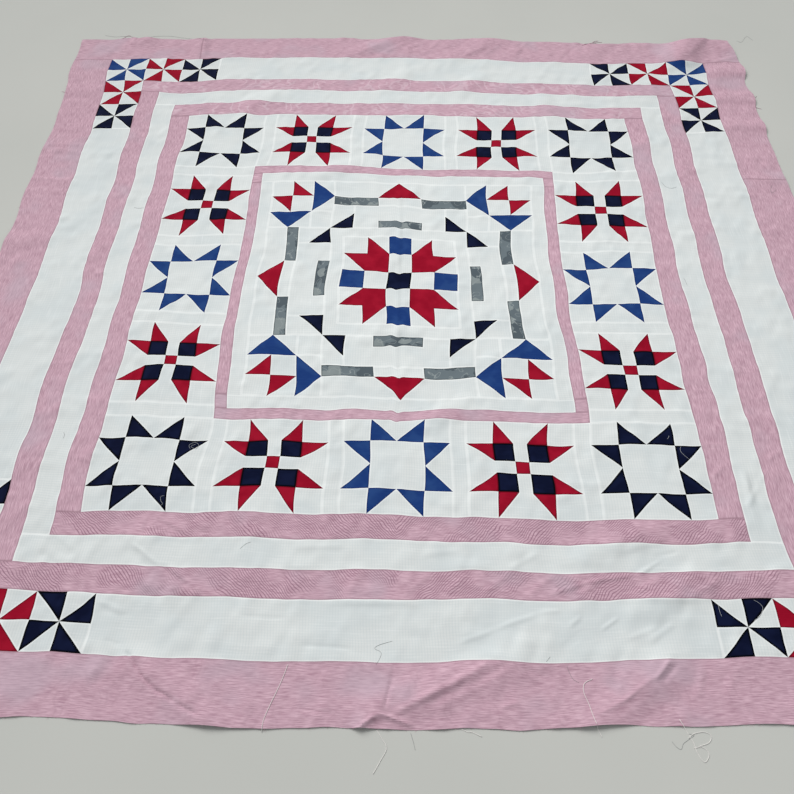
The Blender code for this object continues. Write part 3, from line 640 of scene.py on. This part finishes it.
cloths["grey"] = camouflage_cotton()
side_patches = [
    ("red", [(-PATCH, GOOSE), (PATCH, GOOSE), (0, MEDALLION)]),
    ("grey", box_of(-CENTRE, GOOSE - BAR, -PATCH, GOOSE)),
    ("grey", box_of(PATCH, GOOSE - BAR, CENTRE, GOOSE)),
    ("grey", box_of(-PATCH, CENTRE, PATCH, CENTRE + BAR)),
    ("navy", [(-CENTRE, CENTRE), (-POINT, CENTRE), (-POINT, CENTRE + PATCH)]),
    ("navy", [(CENTRE, CENTRE), (POINT, CENTRE), (POINT, CENTRE + PATCH)]),
]
side_seams = [
    [(-CENTRE, MEDALLION), (CENTRE, MEDALLION)],
    [(-CENTRE, GOOSE), (CENTRE, GOOSE)],
    [(-CENTRE, GOOSE - BAR), (CENTRE, GOOSE - BAR)],
    [(-CENTRE, CENTRE), (CENTRE, CENTRE)],
    [(-CENTRE, CENTRE), (-CENTRE, MEDALLION)],
    [(CENTRE, CENTRE), (CENTRE, MEDALLION)],
    [(-POINT, CENTRE), (-POINT, GOOSE - BAR)],
    [(POINT, CENTRE), (POINT, GOOSE - BAR)],
]
UPRIGHT = ("left", "right")  # sides whose strips run up the quilt
TURNS = {  # a place on the top side of the quilt, turned round to each side
    "top": lambda x, y: (x, y),
    "left": lambda x, y: (-y, x),
    "bottom": lambda x, y: (-x, -y),
    "right": lambda x, y: (y, -x),
}


def turned(side, outlines):
    return [[TURNS[side](x, y) for x, y in outline] for outline in outlines]


def turned_box(side, left, bottom, right, top):
    (ax, ay), (bx, by) = TURNS[side](left, bottom), TURNS[side](right, top)
    return min(ax, bx), min(ay, by), max(ax, bx), max(ay, by)


for side in TURNS:
    outlines = turned(side, [outline for _, outline in side_patches])
    sew("medallion_side_" + side, turned_box(side, -CENTRE, CENTRE, CENTRE, MEDALLION), "white",
        list(zip([cloth for cloth, _ in side_patches], outlines)),
        turned(side, side_seams), upright=side in UPRIGHT)

# ----------------------------------------
# Corner blocks of the medallion
# White cotton with two red half squares, stepped like stairs, and two blue geese that point in at
# the side blocks' grey bars. All four are the same block, turned or flipped.
corner_patches = [
    ("red", [(-GOOSE, MEDALLION), (-GOOSE, GOOSE), (PATCH - GOOSE, GOOSE)]),
    ("red", [(-MEDALLION, GOOSE), (-GOOSE, GOOSE), (-GOOSE, GOOSE - PATCH)]),
    ("blue", [(PATCH - GOOSE, GOOSE - PATCH), (PATCH - GOOSE, MEDALLION), (-CENTRE, GOOSE)]),
    ("blue", [(-MEDALLION, GOOSE - PATCH), (PATCH - GOOSE, GOOSE - PATCH), (-GOOSE, CENTRE)]),
]
corner_seams = sides_of(box_of(-MEDALLION, CENTRE, -CENTRE, MEDALLION)) + [
    ((PATCH - GOOSE, GOOSE - PATCH), (-CENTRE, GOOSE - PATCH)),
    ((PATCH - GOOSE, GOOSE - PATCH), (PATCH - GOOSE, CENTRE)),
]
CORNERS = [(f"{level}_{side}", across, up) for level, up in (("top", 1), ("bottom", -1))
           for side, across in (("left", -1), ("right", 1))]
for corner, across, up in CORNERS:
    flipped = [[(-x * across, y * up) for x, y in outline] for _, outline in corner_patches]
    seams = [[(-x * across, y * up) for x, y in seam] for seam in corner_seams]
    ends_x, ends_y = sorted((MEDALLION * across, CENTRE * across)), sorted((CENTRE * up, MEDALLION * up))
    sew("medallion_corner_" + corner, (ends_x[0], ends_y[0], ends_x[1], ends_y[1]), "white",
        list(zip([cloth for cloth, _ in corner_patches], flipped)), seams)

# ----------------------------------------
# Frame of the medallion
# A white sash with a narrow strip of rose chambray sewn to its outer edge, one on each side. The
# top and bottom ones run the full width. Chambray has dyed warp and white weft, so it is streaky.
FRAME_SASH = MEDALLION + SASH  # from the middle to the seam between sash and rose strip
FRAME = FRAME_SASH + 1.25  # from the middle to the rose strip's outer seam
SWIRLS = 34  # radians by which the noise bends the watered lines, over its whole height


def rose_chambray(name, watering, line_and_highlight_shade, pitch, lean):
    """Dusty rose chambray: pale and dark threads in fine streaks, and cooler where it has faded.

    Watering is how strongly close wavy lines show, as on pressed silk, where the fine stripes lie askew. Pale
    lines are painted highlight on the ridges that lean with the stretched weave.
    The lines are a pitch in metres apart, and lean the other way on each side of the quilt's middle.
    """
    cotton, tree, place, shader, seam = new_cotton(name)
    long_way = add(tree, "VectorMath", {0: place, 1: (0.07, 1, 1)}, operation="MULTIPLY")
    streak = add(tree, "TexNoise", {"Vector": long_way, "Scale": 1 / 0.0018, "Roughness": 0.6})
    colour = wash(tree, linear("#AD8999"), "#D3B2C0", streak, 0.34, 0.66, blend="LINEAR")
    swirl = add(tree, "TexNoise", {"Vector": place, "Scale": 1 / 0.06})
    swirl = add(tree, "Math", {0: swirl, 1: SWIRLS}, operation="MULTIPLY")
    across = add(tree, "SeparateXYZ", {0: place}, 0)
    across = add(tree, "Math", {0: across}, operation="ABSOLUTE")
    up = add(tree, "SeparateXYZ", {0: place}, 1)
    across = add(tree, "Math", {0: across, 1: 2 * math.pi / pitch, 2: swirl}, operation="MULTIPLY_ADD")
    lines = add(tree, "Math", {0: up, 1: 2 * math.pi * lean / pitch, 2: across}, operation="MULTIPLY_ADD")
    lines = add(tree, "Math", {0: lines}, operation="SINE")
    lines = add(tree, "MapRange", {0: lines, 1: 0.1, 4: watering}, interpolation_type="SMOOTHSTEP")
    patch = add(tree, "TexNoise", {"Vector": place, "Scale": 1 / 0.07, "Detail": 1})
    patch = add(tree, "MapRange", {0: patch, 1: 0.4, 2: 0.56}, interpolation_type="SMOOTHSTEP")
    lines = add(tree, "Math", {0: lines, 1: patch}, operation="MULTIPLY")
    # The lines take the line shade: dark watered lines on most rose, and painted highlight where that shade
    # is pale
    colour = add(tree, "Mix", {0: lines, 6: colour, 7: linear(line_and_highlight_shade)}, 2, data_type="RGBA")
    faded = add(tree, "TexNoise", {"Vector": place, "Scale": 1 / 0.16})
    colour = wash(tree, colour, "#B8AAB7", faded, 0.52, 0.7, 0, 0.4)
    # Painted shade: darker towards each seam, for the shadow in its dip over the turned-under cloth
    colour = wash(tree, colour, "#9C7C89", seam, 0.0005, 0.004, 0.7, 0)
    tree.links.new(colour, shader.inputs["Base Color"])
    shader.inputs["Sheen Weight"].default_value = 0.05
    return cotton


cloths["rose"] = rose_chambray("rose_chambray", 0.15, "#A17F8E", 0.03, 0.5)
cloths["watered rose"] = rose_chambray("watered_rose_chambray", 0.9, "#8F6C7D", 0.007, -1.0)
# Painted highlight: its pale slanting lines stand for light on the ridges that lean with the stretched weave
cloths["slanting rose"] = rose_chambray("rose_chambray_painted_ridge_highlights", 0.4, "#DAC6D0", 0.046, 0.75)
for side in ("top", "bottom", "left", "right"):
    upright = side in UPRIGHT
    end = MEDALLION if upright else FRAME
    seam_end = MEDALLION if upright else FRAME_SASH
    rose = [box_of(-end, FRAME_SASH, end, FRAME)]
    if not upright:
        rose += [box_of(-FRAME, MEDALLION, -FRAME_SASH, FRAME_SASH),
                 box_of(FRAME_SASH, MEDALLION, FRAME, FRAME_SASH)]
    sew("medallion_frame_" + side, turned_box(side, -end, MEDALLION, end, FRAME), "white",
        [("rose", outline) for outline in turned(side, rose)],
        turned(side, [[(-seam_end, MEDALLION), (seam_end, MEDALLION)]]), upright=upright, runs_on=MEDALLION)

# ----------------------------------------
# Ring of sixteen star blocks
# Sawtooth stars in navy at the corners and in blue half way, and between them red paw stars with
# navy squares and a white sash on each side. White seams in the ring are pressed open.
STARS = FRAME + 4 * PATCH  # from the middle to the ring's outer seam
STAR_HALF = 2 * PATCH  # half the width of a star block
PAW_SIZES = (PATCH, 0.75 * PATCH, 0.5 * PATCH, 0.75 * PATCH, PATCH)
SAWTOOTH_STAR = (
    "w. b1 b2 w.",
    "b3 w. w. b4",
    "b2 w. w. b1",
    "w. b4 b3 w.",
)
PAW_STAR = (
    "w. r1 w. r2 w.",
    "r3 n. w. n. r4",
    "w. w. r. w. w.",
    "r2 n. w. n. r1",
    "w. r4 w. r3 w.",
)
for side in TURNS:
    upright = side in UPRIGHT
    box = turned_box(side, -STAR_HALF, FRAME, STAR_HALF, STARS)
    sew("blue_star_" + side, box, "white", charted(box[0], box[3], SAWTOOTH_STAR),
        turned(side, [[(across, FRAME), (across, STARS)] for across in (-STAR_HALF, STAR_HALF)]))
    for end in (-1, 1):
        # The paw star that lies clockwise of the middle star where end is 1, and the other way where -1
        left, right = sorted((end * STAR_HALF, end * FRAME))
        block = turned_box(side, left + SASH, FRAME, right - SASH, STARS)
        x, y = TURNS[side](end, 1)
        half = ("lower", "upper")[y > 0] if upright else ("left", "right")[x > 0]
        stops = (left, left + SASH, right - SASH, right)
        sew(f"paw_star_{side}_{half}", turned_box(side, left, FRAME, right, STARS), "white",
            charted(block[0], block[3], PAW_STAR, PAW_SIZES),
            turned(side, [[(across, FRAME), (across, STARS)] for across in stops]), upright=upright)
for corner, across, up in CORNERS:
    left, bottom = (FRAME if across > 0 else -STARS), (FRAME if up > 0 else -STARS)
    box = (left, bottom, left + 4 * PATCH, bottom + 4 * PATCH)
    inner_x, inner_y = FRAME * across, FRAME * up
    sew("navy_star_" + corner, box, "white",
        charted(box[0], box[3], [row.replace("b", "n") for row in SAWTOOTH_STAR]),
        [[(inner_x, bottom), (inner_x, box[3])], [(left, inner_y), (box[2], inner_y)]])

# ----------------------------------------
# Rose, white and rose borders
# Three rings of plain strips, of rose chambray, white cotton and rose chambray again. The top and
# bottom strips run the full width of their ring.
INNER_ROSE = STARS + 2.25  # from the middle to each ring's outer seam
INNER_WHITE = INNER_ROSE + 2.5
MIDDLE_ROSE = INNER_WHITE + 2.375
for name, near, far, cloth in (("inner_rose_border_", STARS, INNER_ROSE, "rose"),
                               ("inner_white_border_", INNER_ROSE, INNER_WHITE, "white"),
                               ("middle_rose_border_", INNER_WHITE, MIDDLE_ROSE, "rose")):
    for side in TURNS:
        upright = side in UPRIGHT
        half = near if upright else far
        looks = {"bottom": "watered rose", "top": "slanting rose"} if cloth == "rose" else {}
        sew(name + side, turned_box(side, -half, near, half, far), looks.get(side, cloth),
            upright=upright, cell=FINE_CELL if side == "bottom" else CELL)

# ----------------------------------------
# White border with pinwheels
# Plain white strips, and in each corner a row of three pinwheels over or under a column of two:
# blue in the corner itself, then red, then navy each way. A pinwheel is four half-square triangles.
PINWHEEL = 2 * PATCH
PINWHEELS = MIDDLE_ROSE + PINWHEEL  # from the middle to the border's outer seam
ROW = PINWHEELS - 3 * PINWHEEL  # from the middle line to the near end of a row or column
CORNER = PINWHEELS - PINWHEEL / 2  # from the middle lines to the middle of the corner pinwheel
for side in TURNS:
    sew("pinwheel_border_" + side, turned_box(side, -ROW, MIDDLE_ROSE, ROW, PINWHEELS), "white",
        upright=side in UPRIGHT, cell=FINE_CELL if side == "bottom" else CELL)
for corner, across, up in CORNERS:
    # The pinwheels of the upper right and lower left corners turn the other way
    halves = ("c3 c2", "c4 c1") if up == across else ("c1 c4", "c2 c3")
    for name, letters, slot in (("row", "brn", "blue_patchwork"), ("column", "rn", "red_patchwork")):
        patches, xs, ys = [], [], []
        for place, letter in enumerate(letters, 3 - len(letters)):
            x, y = CORNER - place * PINWHEEL, CORNER
            x, y = (x * across, y * up) if name == "row" else (y * across, x * up)
            xs.append(x)
            ys.append(y)
            patches += charted(x - PATCH, y + PATCH, [half.replace("c", letter) for half in halves])
        sew(f"pinwheel_{name}_{corner}", (min(xs) - PATCH, min(ys) - PATCH, max(xs) + PATCH, max(ys) + PATCH),
            "white", patches)

# ----------------------------------------
# Outer border
# Seven lengths of rose chambray, 5 inches wide with a raw outer edge. The top and bottom run the
# full width; the top, left and right are each joined from two lengths.
TOP_JOIN = -28.0  # where two lengths meet, from the middle line
RIGHT_JOIN = 16.5
LEFT_JOIN = 0.0
for node, box, upright in (
        ("outer_border_top_left", (-EDGE, PINWHEELS, TOP_JOIN, EDGE), False),
        ("outer_border_top_right", (TOP_JOIN, PINWHEELS, EDGE, EDGE), False),
        ("outer_border_bottom", (-EDGE, -EDGE, EDGE, -PINWHEELS), False),
        ("outer_border_left_upper", (-EDGE, LEFT_JOIN, -PINWHEELS, PINWHEELS), True),
        ("outer_border_left_lower", (-EDGE, -PINWHEELS, -PINWHEELS, LEFT_JOIN), True),
        ("outer_border_right_upper", (PINWHEELS, RIGHT_JOIN, EDGE, PINWHEELS), True),
        ("outer_border_right_lower", (PINWHEELS, -PINWHEELS, EDGE, RIGHT_JOIN), True)):
    sew(node, box, "rose", upright=upright, cell=FINE_CELL if box[3] == -PINWHEELS else CELL)

# ----------------------------------------
# Loose threads
# Clipped ends of sewing thread and long ravelled yarns that were left on the top, and that lie over
# its edge on the floor. Each is limp and weighs next to nothing, so it lies as it fell.
THREAD_STEP = 0.12  # inches between the places that a thread bends at


def sewing_thread(name, shade, twist_shade):
    """Spun polyester sewing thread: matt, with the shade of its twist showing darker along it."""
    thread, tree, shader = new_finish(name, 0.8, 0.1)
    place = add(tree, "TexCoord", {}, 3)
    twist = add(tree, "TexNoise", {"Vector": place, "Scale": 1 / 0.002, "Detail": 1})
    colour = add(tree, "Mix", {0: twist, 6: linear(shade), 7: linear(twist_shade)}, 2, data_type="RGBA")
    tree.links.new(colour, shader.inputs["Base Color"])
    return thread


def fallen(places):
    """A smooth line through a thread's draft places, as x, y and z of its middle in metres."""
    places = np.array(places, float)
    ends = np.vstack([2 * places[0] - places[1], places, 2 * places[-1] - places[-2]])
    line = []
    for before, start, end, after in zip(ends, ends[1:], ends[2:], ends[3:]):
        steps = math.ceil(math.dist(start, end) / THREAD_STEP)
        for share in np.arange(steps) / steps:
            line.append(0.5 * (2 * start + (end - before) * share
                               + (2 * before - 5 * start + 4 * end - after) * share ** 2
                               + (3 * start - before - 3 * end + after) * share ** 3))
    line = np.array(line + [places[-1]])
    x, y, z = lie(line[:, 0], line[:, 1], np.full(len(line), PUCKER_REACH))
    z[np.abs(line).max(axis=1) > EDGE] = 0
    soft = np.convolve(np.pad(z, 2, mode="edge"), np.ones(5) / 5, mode="valid")
    return np.column_stack([x, y, np.maximum(z, soft)])


def drop_threads(name, finish, width, routes):
    """Makes threads of one kind along their routes of given draft places, in inches."""
    bpy.ops.object.select_all(action="DESELECT")
    bpy.ops.curve.primitive_nurbs_path_add(location=(0, 0, 0))
    threads = bpy.context.object
    threads.name = threads.data.name = name
    threads.data.splines.clear()
    for route in routes:
        line = fallen(route) + np.array([0, 0, width / 2])
        spline = threads.data.splines.new("POLY")
        spline.points.add(len(line) - 1)
        spline.points.foreach_set("co", np.column_stack([line, np.ones(len(line))]).ravel())
    threads.data.bevel_depth = width / 2
    threads.data.bevel_resolution = 1
    threads.data.use_fill_caps = True
    bpy.ops.object.convert(target="MESH")
    threads = bpy.context.object
    bpy.ops.object.mode_set(mode="EDIT")
    bpy.ops.mesh.select_all(action="SELECT")
    bpy.ops.mesh.remove_doubles(threshold=0.00001)
    bpy.ops.object.mode_set(mode="OBJECT")
    threads.data.materials.clear()
    threads.data.materials.append(finish)
    bpy.ops.object.shade_smooth()
    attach(threads, "root")


# Real sewing thread is 0.3 mm wide, and is drawn two or three times as wide so that it shows
thread = sewing_thread("white_sewing_thread", "#ECE8E6", "#D8D5D3")
drop_threads("white_thread_ends", thread, 0.0011, [
    # on the bottom border and over its edge
    [(-8.6, -40.4), (-8.9, -41.6), (-9.4, -43.1), (-9.9, -44.5), (-10, -45.4)],
    [(14.9, -41.5), (14.4, -41.7), (14.2, -42), (14.2, -42.6), (14.5, -43.5), (14.8, -44.7), (15.3, -45.9)],
    [(20.8, -44.7), (21.2, -45.4), (21.6, -46.2), (21.8, -47), (22.2, -47.6), (22.6, -47.1), (22.2, -46.6),
     (21.6, -46.6)],
    [(21.3, -45.9), (21.7, -45.6), (22.4, -45.5), (22.9, -45.8), (22.7, -46.3), (22, -46.5)],
    [(-1.4, -45.2), (-1, -45.8), (-0.7, -46.4), (-1.2, -47.3), (-1.7, -48.2)],
    [(4.9, -45.2), (5.4, -45.4), (5.7, -45.4), (6.4, -45.7)],
])
thread = sewing_thread("pale_sewing_thread", "#A9ADB0", "#8D9195")
drop_threads("pale_thread_curls", thread, 0.0009, [
    # on the navy patches
    [(-19.3, -21.5), (-19.5, -21), (-19.1, -20.7), (-18.7, -21), (-18.8, -21.5), (-19.3, -21.2),
     (-19, -20.9)],
    [(-20.7, -26.5), (-21, -26.6), (-21, -27), (-20.8, -27.3), (-21, -27.5)],
    [(26, -20.6), (25.9, -20.9), (26, -21.3), (26.5, -21.9)],
    [(25.1, -19.4), (25, -19.7), (24.9, -19.8)],
    [(25.6, -35.6), (25.6, -36.2), (25.7, -36.7)],
    [(28.6, -35.3), (29, -35.6), (29.1, -36), (28.7, -36.6), (28.2, -37)],
])
thread = sewing_thread("grey_sewing_thread", "#8E9191", "#767A7C")
drop_threads("grey_thread_ends", thread, 0.0005, [
    # along the top edge, and on the floor beside it
    [(-42.2, 46.3), (-41.1, 46), (-39.5, 45.7), (-37.5, 45.4), (-36, 45.7), (-34.8, 46), (-32.9, 45.9),
     (-31, 45.6), (-28.9, 45.2), (-27.6, 44.5)],
    [(46.3, 45.4), (46.8, 45.1), (47.4, 46.3), (47.8, 46.7), (48.3, 45.8)],
    # on the white borders
    [(-0.5, -38.4), (-1.5, -38.7), (-1.9, -39), (-1.4, -39.3), (-1.5, -39.8), (-1.8, -40.3)],
    [(11.6, -40), (11.8, -39.8), (12, -39.6)],
    [(-13.5, -31.3), (-13.1, -30.9), (-12.7, -30.7)],
    [(30.6, 16.1), (30.9, 15.4), (31.5, 15.1), (32.1, 15.3)],
    [(30.7, 1.3), (30.8, 0.9), (30.9, 0.3)],
    [(-31.6, -20), (-31.4, -20.3), (-31.4, -20.7)],
    # on the rose borders and over their edges
    [(13.2, -40.4), (13.3, -40.9), (13.5, -41.4), (13.9, -41.7)],
    [(43.2, 15.6), (42.8, 14.7), (42.9, 14.3), (43.5, 14.9)],
    [(-31.6, 10.7), (-31, 10.6), (-30.3, 10.7)],
    [(20.1, -46.2), (20.4, -46.6), (20.7, -46.7), (20.9, -46.3), (21.3, -46), (21.7, -45.7), (21.3, -45.6)],
    [(1.1, -45.3), (1.3, -46), (1.4, -46.6)],
])
thread = sewing_thread("rose_yarn", "#C99FB0", "#A98594")
drop_threads("rose_thread_ends", thread, 0.0011, [
    # tufts of ravelled yarn at the raw edge
    [(24.7, 44.6), (26, 45.3), (26.9, 45.8), (27.7, 45.7)],
    [(25.1, 44.9), (26.3, 45.5), (27.4, 45.3)],
    [(26, 45), (26.6, 45.9), (27.2, 46.1)],
    [(45, 32.2), (45.3, 32.4), (45.7, 32.8)],
    [(45, 30.4), (45.3, 30.3), (45.8, 30.1)],
    [(-45.7, 32.8), (-45.3, 32.6), (-44.8, 32.2)],
    [(-39.6, 45), (-38.9, 45.8), (-38.2, 45.2)],
])

# ----------------------------------------
# Frayed raw edge
# The outer edge is cut and never hemmed, so the ends of the rose yarns stand out of it as a fuzz.
FRAY = 2600  # fibres round the whole edge
FRAY_LENGTH = (0.0015, 0.006)  # metres
FRAY_WIDTH = 0.0004  # metres, drawn twice as wide as a cotton yarn so that it shows
FRAY_SPREAD = 0.5  # radians that most fibres keep to, from straight out
LONG_SHARE = 0.04  # share of the fibres that are longer
LONGER = 2.2  # how many times as long those are
FRAY_DROOP = 0.3  # how far a fibre's end hangs down, for its length
fray_draw = np.random.default_rng(21)
side_of = fray_draw.integers(0, 4, FRAY)  # left, right, bottom and top
along = fray_draw.uniform(-EDGE, EDGE, FRAY)
inward = EDGE - fray_draw.uniform(0.02, 0.08, FRAY)
outside = inward * np.array([-1, 1, -1, 1])[side_of]
across = np.where(side_of < 2, outside, along)
upward = np.where(side_of < 2, along, outside)
root = np.column_stack(lie(across, upward, np.full(FRAY, PUCKER_REACH)))
outward = np.array([math.pi, 0, -math.pi / 2, math.pi / 2])[side_of]
heading = outward + fray_draw.normal(0, FRAY_SPREAD, FRAY)
length = fray_draw.uniform(*FRAY_LENGTH, FRAY)
length *= np.where(fray_draw.uniform(0, 1, FRAY) < LONG_SHARE, LONGER, 1)
ahead = np.column_stack([np.cos(heading), np.sin(heading), np.zeros(FRAY)])
beside = np.column_stack([-np.sin(heading), np.cos(heading), np.zeros(FRAY)])
root[:, 2] -= CLOTH / 2
tip = root + ahead * length[:, None]
tip[:, 2] -= np.minimum(length * FRAY_DROOP, root[:, 2] - FRAY_WIDTH)
fibres = bmesh.new()
for start, end, aside in zip(root, tip, beside):
    base = [fibres.verts.new(start + FRAY_WIDTH * (aside * turn_x + np.array([0, 0, turn_z])))
            for turn_x, turn_z in ((0.5, -0.3), (0, 0.5), (-0.5, -0.3))]
    point = fibres.verts.new(end)
    fibres.faces.new(base)
    for corner in range(3):
        fibres.faces.new((base[corner], point, base[(corner + 1) % 3]))
bmesh.ops.recalc_face_normals(fibres, faces=fibres.faces[:])
fuzz_mesh = bpy.data.meshes.new("raw_edge_fuzz")
fibres.to_mesh(fuzz_mesh)
fibres.free()
fuzz = bpy.data.objects.new("raw_edge_fuzz", fuzz_mesh)
bpy.context.collection.objects.link(fuzz)
fuzz_mesh.materials.append(sewing_thread("rose_fuzz", "#CBA6B4", "#B58F9F"))
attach(fuzz, "root")

# ----------------------------------------
# Floor, light and camera
# A plain pale floor that the quilt lies flat on, wide enough for any view, under the soft light of
# one large window at the back left and a pale room.
bpy.ops.object.select_all(action="DESELECT")
bpy.ops.mesh.primitive_plane_add(size=60, location=(0, 0, 0))
floor = bpy.context.object
floor.name = floor.data.name = "pale_floor"
paint, tree, shader = new_finish("pale_matt_floor_paint", 0.9, 0.1)
place = add(tree, "TexCoord", {}, 3)
mottle = add(tree, "TexNoise", {"Vector": place, "Scale": 1 / 0.5, "Detail": 3})
colour = add(tree, "Mix", {0: mottle, 6: linear("#BABCB8"), 7: linear("#C3C4C0")}, 2, data_type="RGBA")
tree.links.new(colour, shader.inputs["Base Color"])
floor.data.materials.append(paint)

bpy.ops.object.light_add(type="SUN", location=(-3, 3, 3), rotation=(math.radians(-38), math.radians(-38), 0))
window = bpy.context.object
window.name = "window_light"
window.data.energy = 2.6
window.data.angle = math.radians(35)
window.data.color = (1.0, 0.985, 0.96)
bpy.ops.object.light_add(type="AREA", location=(0, 0.2, 1.5))
ceiling = bpy.context.object
ceiling.name = "ceiling_light"
ceiling.data.shape = "DISK"
ceiling.data.size = 1.0
ceiling.data.energy = 4.7
ceiling.data.color = (1.0, 0.98, 0.95)
ceiling.visible_camera = False
room = bpy.data.worlds.new("pale_room")
bpy.context.scene.world = room
room.use_nodes = True
sky = room.node_tree.nodes["Background"]
sky.inputs["Color"].default_value = (0.97, 0.99, 1, 1)
sky.inputs["Strength"].default_value = 0.42

bpy.ops.object.camera_add(location=(0.0276, -1.4815, 1.5678),
                          rotation=[math.radians(turn) for turn in (34.652, 0.302, 1.124)])
camera = bpy.context.object
camera.name = "camera"
camera.data.sensor_width = 36
camera.data.lens = 35.297
bpy.context.scene.camera = camera
bpy.context.scene.view_settings.view_transform = "Standard"
